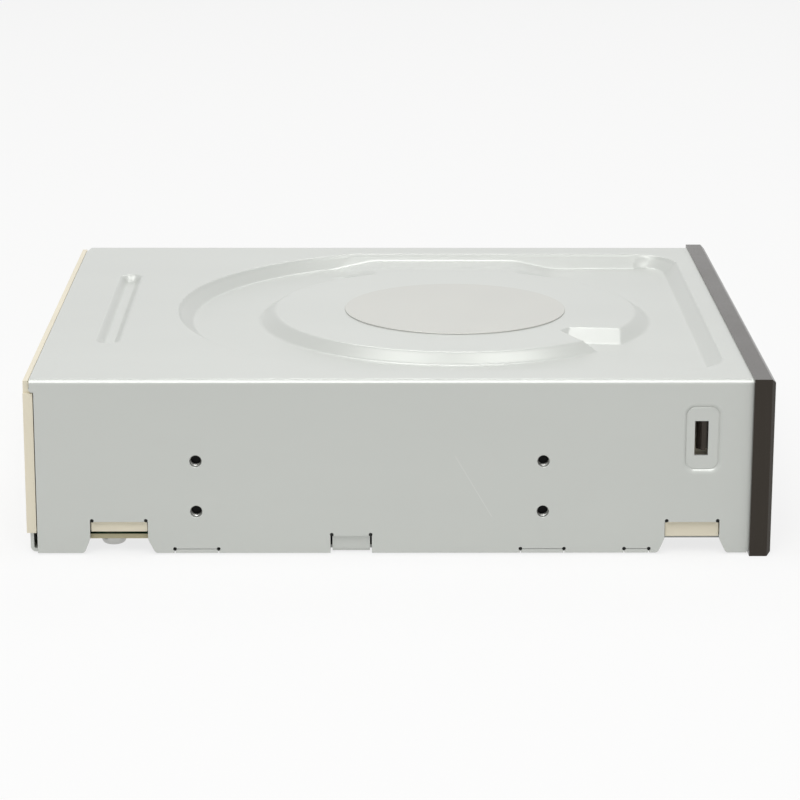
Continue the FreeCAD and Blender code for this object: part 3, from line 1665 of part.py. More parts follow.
def pickup_body():
    """Die-cast sled of the optical pickup, on the two rods."""
    y0 = lens_y - pickup_half_length
    y1 = lens_y + pickup_half_length
    outline = [
        (pickup_left, y0 + 1.0, 0),
        (-14.0, y0 + 1.0, 0),
        (-11.0, y0, 0),
        (11.0, y0, 0),
        (14.0, y0 + 4.0, 0),
        (pickup_right, y0 + 4.0, 0),
        (pickup_right, y1 - 4.0, 0),
        (17.0, y1, 0),
        (-17.0, y1, 0),
        (pickup_left, y1 - 1.0, 0),
    ]
    body = plate(outline, pickup_bottom + 1.2, pickup_top)
    under = box(-17.0, 15.0, y0 + 1.5, y1 - 1.0, pickup_bottom, pickup_bottom + 1.4)
    well = plate(chamfered(-10.0, 10.0, y0 + 2.2, y1 - 2.2, 1.5), pickup_top - 4.0, pickup_top + 1)
    side_well = box(-22.5, -12.5, y0 + 3.0, y1 - 3.0, pickup_top - 2.2, pickup_top + 1)
    bore_start = Vector(main_rod_x, y0 - 1, rod_z)
    bore_end = Vector(main_rod_x, y1 + 1, rod_z)
    bores = [facet_bar(rod_radius + rod_fit, bore_start, bore_end, pulley_sides)]
    fork = rod_radius + 0.1
    bores.append(box(sub_rod_x - fork, pickup_right + 1, y0 - 1, y1 + 1, rod_z - fork, rod_z + fork))
    bores.append(box(main_rod_x - 2.6, main_rod_x + 2.6, lens_y - 3.6, lens_y + 3.6, 0, rod_z + 2.2))
    return fuse([body, under]).cut([well, side_well] + bores)


def lead_nut():
    """Half nut and its spring plate, from the sled to the lead screw."""
    half = 3.0
    block = box(screw_x - 2.6, pickup_left, lens_y - half, lens_y + half, rod_z - 2.6, rod_z + 2.6)
    start = Vector(screw_x, lens_y - half - 1, rod_z)
    finish = Vector(screw_x, lens_y + half + 1, rod_z)
    return block.cut(facet_bar(screw_radius + axle_fit, start, finish, bar_sides))


def pickup_cover():
    """Thin bronze-coloured shield over the sled, open round the lens."""
    y0 = lens_y - pickup_half_length + 0.8
    y1 = lens_y + pickup_half_length - 0.8
    body = plate(chamfered(-16.0, 16.0, y0, y1, 1.5), pickup_top, pickup_top + 0.5)
    return body.cut(box(-9.2, 9.2, y0 + 1.6, y1 - 1.6, 0, case_height))


def lens_holder():
    """Moving lens holder, in the well of the sled."""
    holder_low = pickup_top - 1.6
    body = plate(chamfered(-8.0, 8.0, lens_y - 4.6, lens_y + 4.6, 1.2), holder_low, pickup_top + 3.2)
    ears = box(-9.0, 9.0, lens_y - 2.0, lens_y + 2.0, holder_low + 0.4, pickup_top + 1.4)
    seat = facet_disc(lens_rim, 0, lens_y, pickup_top + 2.4, pickup_top + 4, turned_sides)
    hole = facet_disc(lens_rim - 1.0, 0, lens_y, 0, case_height, bar_sides)
    return fuse([body, ears]).cut([seat, hole])


def objective_lens():
    low = pickup_top + 2.4
    levels = (
        (lens_rim, low),
        (lens_rim, low + 1.0),
        (2.6, low + 1.0),
        (2.0, low + 2.0),
        (1.1, low + 2.5),
    )
    return turned(levels, 0, lens_y)


def pickup_ffc():
    """Flat cable from the foot of the sled, looped down to its socket on the board."""
    thick = ffc_thickness
    start_y = lens_y - 3.0
    start_z = pickup_bottom - thick
    low_z = board_top + 1.0
    front = start_y - 10.0
    half = ffc_width / 2
    bend = 0.27 * (pickup_bottom - low_z)
    inner_bend = bend - 0.6 * thick
    outer = [
        (start_y, start_z + thick, 0),
        (front + bend, start_z + thick, 0),
        (front, start_z + thick - bend, 0),
        (front, low_z + bend, 0),
        (front + bend, low_z, 0),
        (ffc_socket_y + 0.5, low_z, 0),
        (ffc_socket_y + 0.5, low_z + thick, 0),
        (front + thick + inner_bend, low_z + thick, 0),
        (front + thick, low_z + thick + inner_bend, 0),
        (front + thick, start_z - inner_bend, 0),
        (front + thick + inner_bend, start_z, 0),
        (start_y, start_z, 0),
    ]
    return prism_x(outer, -half, half)


# Fasteners


def cover_screws():
    low = 0.2
    height = cover_dimple_depth - low
    return [screw_up(x, y, low, height, 8.0) for x, y in cover_screw_places]


def board_screws():
    height = 2.1
    low = board_bottom - height
    screws = [screw_up(x, y, low, height, 7.0, board_head_radius) for x, y in board_screw_places]
    height = 1.6
    low = front_board_bottom - height
    screws += [screw_up(x, y, low, height, 6.0, head_radius) for x, y in front_screw_places]
    return screws


def bridge_screws():
    height = 1.4
    top = clamper_plate_top + height
    return both_sides([screw_down(bridge_screw_x, y, top, height, 3.0) for y in bridge_screw_y])


subparts = {
    "top_cover": top_cover,
    "bottom_cover": bottom_cover,
    "seal_foil": seal_foil,
    "main_chassis": main_chassis,
    "side_frames": side_frames,
    "rear_wall": rear_wall,
    "clamper_bridge": clamper_bridge,
    "front_bezel": front_bezel,
    "tray_door": tray_door,
    "eject_button": eject_button,
    "led_lens": led_lens,
    "front_board": front_board,
    "eject_switch": eject_switch,
    "status_led": status_led,
    "main_board": main_board,
    "board_chips": board_chips,
    "board_capacitors": board_capacitors,
    "ffc_sockets": ffc_sockets,
    "sata_data_plug": sata_data_plug,
    "sata_power_plug": sata_power_plug,
    "sata_contacts": sata_contacts,
    "loading_motor": loading_motor,
    "motor_pulley": motor_pulley,
    "pulley_gear": pulley_gear,
    "tray_gear": tray_gear,
    "drive_belt": drive_belt,
    "cam_slider": cam_slider,
    "disc_tray": disc_tray,
    "lift_frame": lift_frame,
    "damper_rubbers": damper_rubbers,
    "damper_screws": damper_screws,
    "traverse_base": traverse_base,
    "spindle_motor": spindle_motor,
    "turntable": turntable,
    "turntable_pad": turntable_pad,
    "clamper": clamper,
    "clamper_yoke": clamper_yoke,
    "main_guide_rod": main_guide_rod,
    "sub_guide_rod": sub_guide_rod,
    "rod_holders": rod_holders,
    "sled_motor": sled_motor,
    "lead_screw": lead_screw,
    "screw_bearing": screw_bearing,
    "pickup_body": pickup_body,
    "lead_nut": lead_nut,
    "pickup_cover": pickup_cover,
    "lens_holder": lens_holder,
    "objective_lens": objective_lens,
    "pickup_ffc": pickup_ffc,
    "cover_screws": cover_screws,
    "board_screws": board_screws,
    "bridge_screws": bridge_screws,
}

os.makedirs("parts", exist_ok=True)
for name, make in subparts.items():
    save(name, make())
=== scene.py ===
import json
import math

import bmesh
import bpy
import numpy as np
from mathutils import Matrix, Vector
from mathutils.geometry import tessellate_polygon


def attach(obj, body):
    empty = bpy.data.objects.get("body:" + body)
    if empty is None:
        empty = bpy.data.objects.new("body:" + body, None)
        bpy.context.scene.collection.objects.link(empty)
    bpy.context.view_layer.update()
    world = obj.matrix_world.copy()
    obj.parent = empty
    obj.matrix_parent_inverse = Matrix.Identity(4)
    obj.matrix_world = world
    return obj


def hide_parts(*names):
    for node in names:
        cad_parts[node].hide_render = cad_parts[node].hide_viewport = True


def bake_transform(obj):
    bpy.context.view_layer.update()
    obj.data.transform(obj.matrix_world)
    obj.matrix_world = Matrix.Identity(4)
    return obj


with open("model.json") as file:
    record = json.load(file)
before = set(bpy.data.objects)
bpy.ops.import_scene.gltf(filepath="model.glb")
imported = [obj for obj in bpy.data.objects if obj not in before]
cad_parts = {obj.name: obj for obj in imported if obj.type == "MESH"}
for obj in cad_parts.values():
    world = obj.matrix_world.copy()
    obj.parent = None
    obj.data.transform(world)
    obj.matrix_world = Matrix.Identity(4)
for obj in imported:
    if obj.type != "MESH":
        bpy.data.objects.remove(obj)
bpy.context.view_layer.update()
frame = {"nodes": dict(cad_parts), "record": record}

# Drawing units: millimetres from the bezel's back face, the case's middle and its underside.
# place() turns them into metres in the row's own frame.
MM = 0.001
PER_METRE = 1000.0
MIDDLE_Y = 80.05
BEZEL_DROP = 0.4

# Fineness of the meshes
GRID_STEP = 0.5
UNDERSIDE_STEP = 1.5
SLOPE_STEP = 0.05
PAD_STEP = 0.1
PAD_SLOPE_STEP = 0.02
CIRCLE_STEPS = 48
FOIL_STEPS = 128
SCREW_STEPS = 36
SMALL_STEPS = 20
RELIEF_STEPS = 11
BEND_STEPS = 9
AXIS = 0.001
TINY = 1e-6

# Case of folded sheet steel
CASE_HALF = 73.0
CASE_TOP = 41.0
SHEET = 0.8
BEND = 1.2
SIDE_REAR = 163.05
TOP_REAR = 164.2
TAIL_START = 158.0
REAR_TAPER = (66.4, 72.7)
REAR_STEP = 0.1
TAB_BOTTOM = 38.0
TAB_ROUND = 0.9
WALL_TOP = 39.0
FRONT_FOOT = (0.5, 0.9)

# Pressed relief of the top: a round dish cut off by straight sides.
# RUN is a wall's length along the top, ROUND its rounded share, BLEND the width of a soft join.
DISC_Y = 65.7
DISH_RADIUS = 69.1
DISH_HALF = 63.8
DISH_DEPTH = 2.9
DISH_FRONT = 4.7
DISH_CORNER = 12.0
DISH_ROUND = 0.16
DISH_BLEND = 0.12
REAR_RUN = 4.3
SIDE_RUN = 6.8
FRONT_RUN = 3.9
CORNER_TURN = (8.0, 30.0)
FAR_INSIDE = 50.0
LIP_DEPTH = 0.4
LIP_RUN = 0.8
PLATEAU_DROP = 0.4
PLATEAU_RADIUS = 44.5
PLATEAU_RUN = 4.6
PLATEAU_ROUND = 0.22
PLATEAU_BLEND = 0.35
BRIDGE_MIDDLE = 67.0
BRIDGE_HALF = 17.4
BRIDGE_FLARE = ((35.0, 47.0), (1.0, 0.35))
BRIDGE_BLEND = 1.2
BRIDGE_SAG = 1.0
SAG_START = 43.0
SAG_RUN = 12.0
SAG_ROUND = 0.4
NOTCH = ((-20.9, 20.0), (-18.9, 38.3), (-23.2, 40.8), (-33.0, 36.8), (-48.0, 26.0), (-36.0, 10.0))
NOTCH_RUNS = (9.0, 3.0, 2.2, 2.2, 2.2, 2.2)
NOTCH_ROUND = 0.14
NOTCH_CORNER_BLEND = 0.1
NOTCH_BLEND = 0.15
FAR_SHARE = 9.0
GROOVE_Y = 149.3
GROOVE_HALF = 35.0
GROOVE_RADIUS = 3.0
GROOVE_RUN = 2.1
GROOVE_ROUND = 0.25
GROOVE_DEPTH = 1.50
FOIL_RADIUS = 27.5
FOIL_THICKNESS = 0.25
FOIL_EDGE = ((0.15, 0.0), (0.03, 0.06), (0.0, 0.12))

# Side walls, as Y and Z on the near side; the far side is their mirror image
MOUNT_Y = (47.4, 126.64)
MOUNT_Z = (9.9, 21.84)
MOUNT_X = 69.85
HOLE_RADIUS = 1.32
HOLE_RIM = 1.58
HOLE_ROLL = 0.22
HOLE_TUBE = 0.6
FRONT_NOTCH = (6.8, 19.4, 7.3, 5.2, 20.9)
REAR_NOTCH = (137.75, 151.0, 7.4, 136.1, 152.4)
NOTCH_FOOT = ((-0.5, 0.0), (-0.1, 0.12), (0.25, 0.5))
NOTCH_RISE = ((-0.25, 2.7), (0.0, 3.4))
NOTCH_HOLE = (0.45, 0.3)
NOTCH_SHOULDER = 0.1
WINDOW = (86.5, 96.0, 4.1)
WINDOW_HOLE = (0.3, 0.25)
WINDOW_SHOULDER = 0.2
RELIEF_RADIUS = 0.45
SLIT_HOLE_Z = 0.95
SLIT_HALF = 0.12
SLIT_GAP = 0.4
MOUNT_TAB_HALF = 4.6
MOUNT_TAB_DEPTH = 8.0
HOOK_TAB = (23.3, 28.2)
HOOK_TAB_DEPTH = 4.0
TAB_TOP = 1.0
TAB_BEND = 0.9
TAB_CUT = 0.8
EMBOSS = (6.3, 16.15, 18.15, 35.7)
EMBOSS_MARGIN = 0.35
EMBOSS_CORNER = 2.8
EMBOSS_RUNS = (1.75, 0.9)
EMBOSS_LOW = 3.5
EMBOSS_EASE = 0.7
EMBOSS_DEPTH = 0.46
EMBOSS_CREASE = 0.11
EMBOSS_CREASE_WIDTH = 0.15
HOOK_SLOT = (9.95, 13.05, 23.1, 31.2)
SCRATCH = ((67.5, 23.0), (59.1, 8.7))
SCRATCH_WIDTH = 0.07
SCRATCH_SHARE = 0.22

# Behind the holes and cuts: sleeves, near-black cups and discs that paint shade into the holes, and pale
# feet; profiles are radius and height
SLEEVE_RADIUS = 1.31
SLEEVE_MOUTH = 0.55
SLEEVE_SPAN = (0.6, 2.5)
SLEEVE_PITCH = 0.2
SLEEVE_THREAD = 0.11
# Near-black cup closing each side hole's sleeve: painted shade for the dark inside of the hole
SHADE_CUP = ((AXIS, -2.9), (1.14, -2.9), (1.14, -2.7), (1.30, -2.55))
# Near-black disc behind each round relief hole: painted shade in the gap behind the wall
SHADE_DISC = ((AXIS, 0.0), (0.62, 0.0), (0.75, -0.12), (0.75, -0.3), (AXIS, -0.3))
SHADE_DISC_GAP = 0.02
SHADE_DISC_PLACE = (0.4, 0.35)
FEET = ((6.9, 19.3, 3.65, 7.6), (137.9, 150.85, 4.85, 7.7))
FOOT_GAP = 0.1
FOOT_THICK = 1.1
FOOT_BEVEL = 0.12

# Screws: head radius, head height and length, then shares of the head
BOARD_SCREW = (2.9, 2.1, 7.0)
FRONT_SCREW = (2.75, 1.6, 6.0)
COVER_SCREW = (2.75, 1.3, 8.0)
BRIDGE_SCREW = (2.75, 1.4, 3.0)
DAMPER_SCREW = (2.6, 1.6, 6.5)
SCREW_TURN = 0.7
SHANK_RADIUS = 1.3
THREAD_PITCH = 0.8
THREAD_DEPTH = 0.28
TIP_LENGTH = 1.2
TIP_RADIUS = 0.3
HEAD_FLAT = 0.66
HEAD_SHOULDER = 0.3
HEAD_EDGE = 0.15
CROSS_TOP = (0.5, 0.14)
CROSS_FLOOR = (0.34, 0.10)
CROSS_HEIGHT = 0.35

# Lead screw
LEAD_X = -33.0
LEAD_Z = 16.7
LEAD_SPAN = (75.3, 136.6)
LEAD_PITCH = 2.0
LEAD_RADIUS = 1.4
LEAD_DEPTH = 0.3
LEAD_FADE = 2.0
JOURNAL_Y = 70.0
JOURNAL = ((AXIS, 0.0), (0.55, 0.0), (0.7, -0.15), (0.7, -5.5))

# Flat cable
CABLE_HALF = 6.5
CABLE_THICK = 0.3
CABLE_LOW = 5.25
CABLE_HIGH = 13.05
CABLE_FRONT = 76.85
CABLE_BEND = 2.35
CABLE_SOCKET = 104.5
CABLE_SPLIT = 79.9
CABLE_END = 86.7
CABLE_STEP = 1.0

# Width of the softened edges of CAD nodes
BEVELS = {
    "front_bezel": 0.5,
    "tray_door": 0.5,
    "eject_button": 0.2,
    "disc_tray": 0.35,
    "main_chassis": 0.25,
    "bottom_cover": 0.15,
    "clamper_bridge": 0.15,
    "lift_frame": 0.25,
    "cam_slider": 0.2,
    "pickup_body": 0.25,
    "sled_motor": 0.3,
    "spindle_motor": 0.3,
    "loading_motor": 0.4,
    "board_chips": 0.12,
    "ffc_sockets": 0.15,
    "sata_data_plug": 0.15,
    "sata_power_plug": 0.15,
}
BEVEL_ANGLE = math.radians(40)
SMOOTH_ANGLE = math.radians(32)

# Camera, solved from the case's corners and its four side holes
CAMERA_PLACE = (-0.708107, 0.006863, 0.205195)
CAMERA_YAW = 0.0106690517
CAMERA_PITCH = 0.259337594
CAMERA_ROLL = -0.00243693373
CAMERA_LENS = 130.636
SENSOR = 36.0

# Light: the floor's share of plain white, the world's level, and lamps as place, size and power
FLOOR_HALF = 4.0
FLOOR_GLOW = 0.78
WORLD_LEVEL = 0.38
LAMPS = (
    ("key_lamp", (-0.75, 0.05, 1.15), 0.85, 8.7),
    ("left_lamp", (0.02, -0.36, 1.25), 0.5, 1.7),
    ("right_lamp", (0.02, 0.36, 1.25), 0.5, 1.7),
    ("back_lamp", (0.90, 0.0, 0.86), 0.3, 1.2),
)


def place(x, y, z):
    """Drawing place in mm to a place in metres."""
    return Vector((x * MM, (y - MIDDLE_Y) * MM, (z + BEZEL_DROP) * MM))


# Mesh helpers


class Sheet:
    """Collects surfaces with their own normals, then makes one mesh of them."""

    def __init__(self):
        self.points = []
        self.faces = []
        self.normals = []

    def add(self, points, faces, normals=None):
        """Normals belong to the points; without them each face is flat."""
        start = len(self.points)
        points = [Vector(p) for p in points]
        self.points += points
        for face in faces:
            self.faces.append([start + i for i in face])
            if normals is None:
                flat = (points[face[1]] - points[face[0]]).cross(points[face[-1]] - points[face[0]])
                flat.normalize()
                self.normals += [flat] * len(face)
            else:
                self.normals += [normals[i] for i in face]

    def mirrored(self):
        """The same surfaces on the other side of the X = 0 plane."""
        other = Sheet()
        other.points = [Vector((-p.x, p.y, p.z)) for p in self.points]
        place_in = 0
        for face in self.faces:
            count = len(face)
            own = [Vector((-n[0], n[1], n[2])) for n in self.normals[place_in : place_in + count]]
            place_in += count
            other.faces.append(face[::-1])
            other.normals += own[::-1]
        return other

    def join(self, other):
        start = len(self.points)
        self.points += other.points
        self.faces += [[start + i for i in face] for face in other.faces]
        self.normals += other.normals

    def build(self, name):
        mesh = bpy.data.meshes.new(name)
        mesh.from_pydata([p[:] for p in self.points], [], self.faces)
        mesh.polygons.foreach_set("use_smooth", [True] * len(mesh.polygons))
        mesh.normals_split_custom_set([tuple(n) for n in self.normals])
        mesh.update()
        made = bpy.data.objects.new(name, mesh)
        bpy.context.scene.collection.objects.link(made)
        return made


def arc(x, y, radius, start, end, steps):
    """Points on an arc, angles in degrees."""
    turns = np.radians(np.linspace(start, end, steps))
    return [(x + radius * math.cos(a), y + radius * math.sin(a)) for a in turns]


def circle(x, y, radius):
    return arc(x, y, radius, 360, 360 / CIRCLE_STEPS, CIRCLE_STEPS)


def rectangle(x0, x1, y0, y1):
    return [(x0, y0), (x1, y0), (x1, y1), (x0, y1)]


def turns_of(steps):
    """Even angles round a full turn."""
    return [2 * math.pi * step / steps for step in range(steps)]


def grid_faces(rows, count, closed=False):
    """Quads over rows of points; closed joins the last row to the first."""
    faces = []
    for row in range(rows if closed else rows - 1):
        low = row * count
        high = (row + 1) % rows * count
        faces += [[low + i, low + i + 1, high + i + 1, high + i] for i in range(count - 1)]
    return faces


def flat_face(sheet, loops, to_space, outward):
    """One flat face with holes: the first loop is its outline."""
    points = [to_space(a, b) for loop in loops for a, b in loop]
    flat_loops = [[Vector((a, b, 0)) for a, b in loop] for loop in loops]
    triangles = [list(t) for t in tessellate_polygon(flat_loops)]
    facing = []
    for t in triangles:
        way = (points[t[1]] - points[t[0]]).cross(points[t[2]] - points[t[0]])
        facing.append(t if way.dot(outward) > 0 else t[::-1])
    sheet.add(points, facing, [outward] * len(points))


def lathe(profile, segments=CIRCLE_STEPS):
    """Surface of revolution about Z from (radius, height) pairs in mm; smooth except where a pair repeats.

    It faces up where the pairs run outward, outward where they run down, and inward where they run up.
    """
    sheet = Sheet()
    runs = [[profile[0]]]
    for pair in profile[1:]:
        if pair == runs[-1][-1]:
            runs.append([pair])
        else:
            runs[-1].append(pair)
    for run in runs:
        if len(run) < 2:
            continue
        slopes = []
        for i in range(len(run)):
            low = run[max(i - 1, 0)]
            high = run[min(i + 1, len(run) - 1)]
            slopes.append(Vector((low[1] - high[1], high[0] - low[0])).normalized())
        points = []
        normals = []
        for angle in turns_of(segments):
            c = math.cos(angle)
            s = math.sin(angle)
            for (radius, height), slope in zip(run, slopes):
                points.append(Vector((radius * c, radius * s, height)) * MM)
                normals.append(Vector((slope.x * c, slope.x * s, slope.y)))
        sheet.add(points, grid_faces(segments, len(run), True), normals)
    return sheet


def moved(sheet, matrix):
    """A copy of the surfaces, moved and turned."""
    other = Sheet()
    turn = matrix.to_3x3()
    other.points = [matrix @ p for p in sheet.points]
    other.faces = [list(face) for face in sheet.faces]
    other.normals = [(turn @ Vector(n)).normalized() for n in sheet.normals]
    return other


# Relief of the top, in mm


def pressed(t, soft=0.3):
    """Side of a pressed step, from 0 to 1, with a rounded rim and foot; soft is the rounded share."""
    t = np.clip(t, 0.0, 1.0)
    low = t * t / (2 * soft * (1 - soft))
    middle = (t - soft / 2) / (1 - soft)
    high = 1 - (1 - t) ** 2 / (2 * soft * (1 - soft))
    return np.where(t < soft, low, np.where(t > 1 - soft, high, middle))


def soft_min(a, b, width):
    """The lower of two heights, with a rounded join."""
    h = np.clip(0.5 + 0.5 * (b - a) / width, 0.0, 1.0)
    return b * (1 - h) + a * h - width * h * (1 - h)


def soft_max(a, b, width):
    """The higher of two heights, with a rounded join."""
    return -soft_min(-a, -b, width)


def slopes_of(height, a, b, step):
    """Slopes of a height function along both of its directions."""
    slope_a = (height(a + step, b) - height(a - step, b)) / (2 * step)
    slope_b = (height(a, b + step) - height(a, b - step)) / (2 * step)
    return slope_a, slope_b


def inside_dish(x, y):
    """Distance inward from the rim of the dish, and the same as a share of the wall's run there."""
    side = DISH_HALF - np.abs(x)
    front = y - DISH_FRONT
    corner_x = np.abs(x) - (DISH_HALF - DISH_CORNER)
    corner_y = DISH_FRONT + DISH_CORNER - y
    in_corner = (corner_x > 0) & (corner_y > 0)
    turn = np.degrees(np.arctan2(corner_y, np.maximum(corner_x, TINY)))
    corner_run = np.interp(turn, CORNER_TURN, (SIDE_RUN, FRONT_RUN))
    corner = DISH_CORNER - np.hypot(corner_x, corner_y)
    straight = np.where(in_corner, corner, np.minimum(side, front))
    share = np.where(in_corner, corner / corner_run, np.minimum(side / SIDE_RUN, front / FRONT_RUN))
    rear = np.where(y > DISC_Y, DISH_RADIUS - np.hypot(x, y - DISC_Y), FAR_INSIDE)
    return np.minimum(straight, rear), soft_min(share, rear / REAR_RUN, DISH_BLEND)


def notch_share(x, y):
    """How deep a point lies in the notch, as a share of its walls' runs, below 0 outside."""
    share = np.full(x.shape, FAR_SHARE)
    for (ax, ay), (bx, by), run in zip(NOTCH, NOTCH[1:] + NOTCH[:1], NOTCH_RUNS):
        length = math.hypot(bx - ax, by - ay)
        inward = ((bx - ax) * (y - ay) - (by - ay) * (x - ax)) / length
        share = soft_min(share, inward / run, NOTCH_CORNER_BLEND)
    return share


def relief(x, y):
    """Height of the top against its plane, never above 0."""
    inward, share = inside_dish(x, y)
    dish = -LIP_DEPTH * pressed(inward / LIP_RUN) - (DISH_DEPTH - LIP_DEPTH) * pressed(share, DISH_ROUND)
    disc = np.hypot(x, y - DISC_Y) - PLATEAU_RADIUS
    bridge_side = (np.abs(y - BRIDGE_MIDDLE) - BRIDGE_HALF) * np.interp(x, *BRIDGE_FLARE)
    outside = soft_min(disc, np.maximum(bridge_side, -x), BRIDGE_BLEND)
    sag = PLATEAU_DROP + BRIDGE_SAG * pressed((x - SAG_START) / SAG_RUN, SAG_ROUND)
    plateau = -sag - (DISH_DEPTH - sag) * pressed(outside / PLATEAU_RUN, PLATEAU_ROUND)
    notch = -PLATEAU_DROP - (DISH_DEPTH - PLATEAU_DROP) * pressed(notch_share(x, y), NOTCH_ROUND)
    plateau = soft_min(plateau, notch, NOTCH_BLEND)
    height = soft_max(dish, plateau, PLATEAU_BLEND)
    height = np.where(inward <= 0, 0.0, np.minimum(height, 0.0))
    along = np.abs(x) - GROOVE_HALF
    in_groove = GROOVE_RADIUS - np.hypot(np.maximum(along, 0), y - GROOVE_Y)
    return height - GROOVE_DEPTH * pressed(in_groove / GROOVE_RUN, GROOVE_ROUND)


def relief_normals(x, y):
    """Normals of the relief from its slopes."""
    slope_x, slope_y = slopes_of(relief, x, y, SLOPE_STEP)
    length = np.sqrt(slope_x**2 + slope_y**2 + 1)
    return np.stack([-slope_x / length, -slope_y / length, 1 / length], axis=-1)


# Top cover


def rear_edge(x):
    """Y of the top plate's rear edge; its far corner is cut back."""
    return np.interp(x, REAR_TAPER, (TOP_REAR, SIDE_REAR + REAR_STEP))


def top_surface(step, drop, sign):
    """The top with both rolled bends, as one grid; drop is the depth below the outer face."""
    radius = BEND - drop
    flat_half = CASE_HALF - BEND
    bend_z = CASE_TOP - BEND
    near = [(-CASE_HALF + drop, z, (-1, 0, 0)) for z in (WALL_TOP, (WALL_TOP + bend_z) / 2)]
    for a in np.radians(np.linspace(180, 90, BEND_STEPS)):
        c = math.cos(a)
        s = math.sin(a)
        near.append((-flat_half + radius * c, bend_z + radius * s, (c, 0, s)))
    flat = [(x, None, None) for x in np.arange(-flat_half + step, flat_half - step / 2, step)]
    far = [(-x, z, (-n[0], 0, n[2])) for x, z, n in reversed(near)]
    columns = near + flat + far
    rows = np.clip(np.arange(0, TOP_REAR + step / 2, step), 0, TOP_REAR)
    grid_x, grid_y = np.meshgrid([c[0] for c in columns], rows)
    stretch = (rear_edge(grid_x) - TAIL_START) / (TOP_REAR - TAIL_START)
    grid_y = np.where(grid_y > TAIL_START, TAIL_START + (grid_y - TAIL_START) * stretch, grid_y)
    height = CASE_TOP + relief(grid_x, grid_y)
    normal = relief_normals(grid_x, grid_y)
    for j, (_, z, n) in enumerate(columns):
        if z is not None:
            height[:, j] = z
            normal[:, j] = n
    sunk = drop * np.array([z is None for _, z, _ in columns])
    grids = [grid - sunk * normal[:, :, i] for i, grid in enumerate((grid_x, grid_y, height))]
    points = [place(*spot) for spot in zip(*[grid.ravel() for grid in grids])]
    normals = [Vector(n) * sign for n in normal.reshape(-1, 3)]
    count = len(columns)
    faces = grid_faces(len(rows), count)
    if sign < 0:
        faces = [face[::-1] for face in faces]
    return points, faces, normals, count


def both_sides(side, start, end):
    """A cut's first side and its mirror image, as one run of points."""
    return side + [(start + end - a, b) for a, b in reversed(side)]


def relief_slit(y):
    """Slit beside a tab with a round hole at its top, as outline points along the lower edge."""
    hole = arc(y, SLIT_HOLE_Z, RELIEF_RADIUS, 255, -75, RELIEF_STEPS)
    return [(y - SLIT_HALF, 0.0)] + hole + [(y + SLIT_HALF, 0.0)]


def tab_slits(start, end):
    return relief_slit(start - SLIT_GAP) + relief_slit(end + SLIT_GAP)


def notch_outline(start, end, top, flare_start, flare_end):
    """Cut in the lower edge, with flared feet and round relief corners at its top."""
    side = [(start + a, b) for a, b in NOTCH_RISE] + [(start, top - NOTCH_SHOULDER)]
    side += arc(start + NOTCH_HOLE[0], top + NOTCH_HOLE[1], RELIEF_RADIUS, 215, -35, RELIEF_STEPS)
    foot = [(flare_start + a, b) for a, b in NOTCH_FOOT]
    heel = [(flare_end - a, b) for a, b in reversed(NOTCH_FOOT)]
    return foot + both_sides(side, start, end) + heel


def wall_outline():
    """Outline of a side wall below its bend, as Y and Z, from the front foot to the rear."""
    front_mount, rear_mount = [tab_slits(y - MOUNT_TAB_HALF, y + MOUNT_TAB_HALF) for y in MOUNT_Y]
    start, end, top = WINDOW
    side = [(start, 0.0), (start, top - WINDOW_SHOULDER)]
    side += arc(start + WINDOW_HOLE[0], top + WINDOW_HOLE[1], RELIEF_RADIUS, 225, -35, RELIEF_STEPS)
    outline = [(0.0, WALL_TOP), (0.0, FRONT_FOOT[1]), (FRONT_FOOT[0], 0.0)]
    outline += notch_outline(*FRONT_NOTCH)
    outline += tab_slits(*HOOK_TAB) + front_mount
    outline += both_sides(side, start, end) + rear_mount
    outline += notch_outline(*REAR_NOTCH)
    outline += [(SIDE_REAR, 0.0), (SIDE_REAR, TAB_BOTTOM)]
    outline += arc(TOP_REAR - TAB_ROUND, TAB_BOTTOM + TAB_ROUND, TAB_ROUND, 270, 360, 5)
    return outline + [(TOP_REAR, WALL_TOP)]


def cut_edge(sheet, line, outer, inner):
    """The sheet's thickness along a line of (Y, Z) points, between two X places."""
    for a, b in zip(line, line[1:]):
        sheet.add([place(outer, *a), place(inner, *a), place(inner, *b), place(outer, *b)], [[0, 1, 2, 3]])


def tube(sheet, y, z, profile, normals=None):
    """Surface round an axis along X, from pairs of radius and height over the wall's face."""
    points = []
    for a in turns_of(CIRCLE_STEPS):
        c = math.cos(a)
        s = math.sin(a)
        points += [place(-CASE_HALF - height, y + r * c, z + r * s) for r, height in profile]
    sheet.add(points, grid_faces(CIRCLE_STEPS, len(profile), True), normals)


def hole_rim(sheet, y, z):
    """Extruded screw hole: the wall rolls inward into a short tube."""
    bend = np.radians(np.linspace(90, 0, 6))
    profile = [(HOLE_RIM - HOLE_ROLL * math.cos(a), HOLE_ROLL * (math.sin(a) - 1)) for a in bend]
    profile.append((HOLE_RADIUS, -HOLE_TUBE))
    leans = [min(1.0, i / (len(profile) - 2)) for i in range(len(profile))]
    normals = []
    for a in turns_of(CIRCLE_STEPS):
        into = Vector((1, -math.cos(a), -math.sin(a)))
        normals += [(into * lean - Vector((1, 0, 0))).normalized() for lean in leans]
    tube(sheet, y, z, profile, normals)


def emboss_depth(y, z):
    """Depth of the pressed pad round the hook slot."""
    y0, y1, z0, z1 = EMBOSS
    border = EMBOSS_MARGIN + EMBOSS_CORNER
    dy = np.abs(y - (y0 + y1) / 2) - (y1 - y0) / 2 + border
    dz = np.abs(z - (z0 + z1) / 2) - (z1 - z0) / 2 + border
    corner = np.hypot(np.maximum(dy, 0), np.maximum(dz, 0))
    outside = corner + np.minimum(np.maximum(dy, dz), 0) - EMBOSS_CORNER
    run = np.interp(z, (z0, z0 + EMBOSS_LOW), EMBOSS_RUNS)
    t = np.clip(-outside / run, 0, 1)
    crease = EMBOSS_CREASE * np.exp(-(((-outside - run) / EMBOSS_CREASE_WIDTH) ** 2))
    return EMBOSS_DEPTH * t * t * (1 + EMBOSS_EASE * (1 - t)) + crease


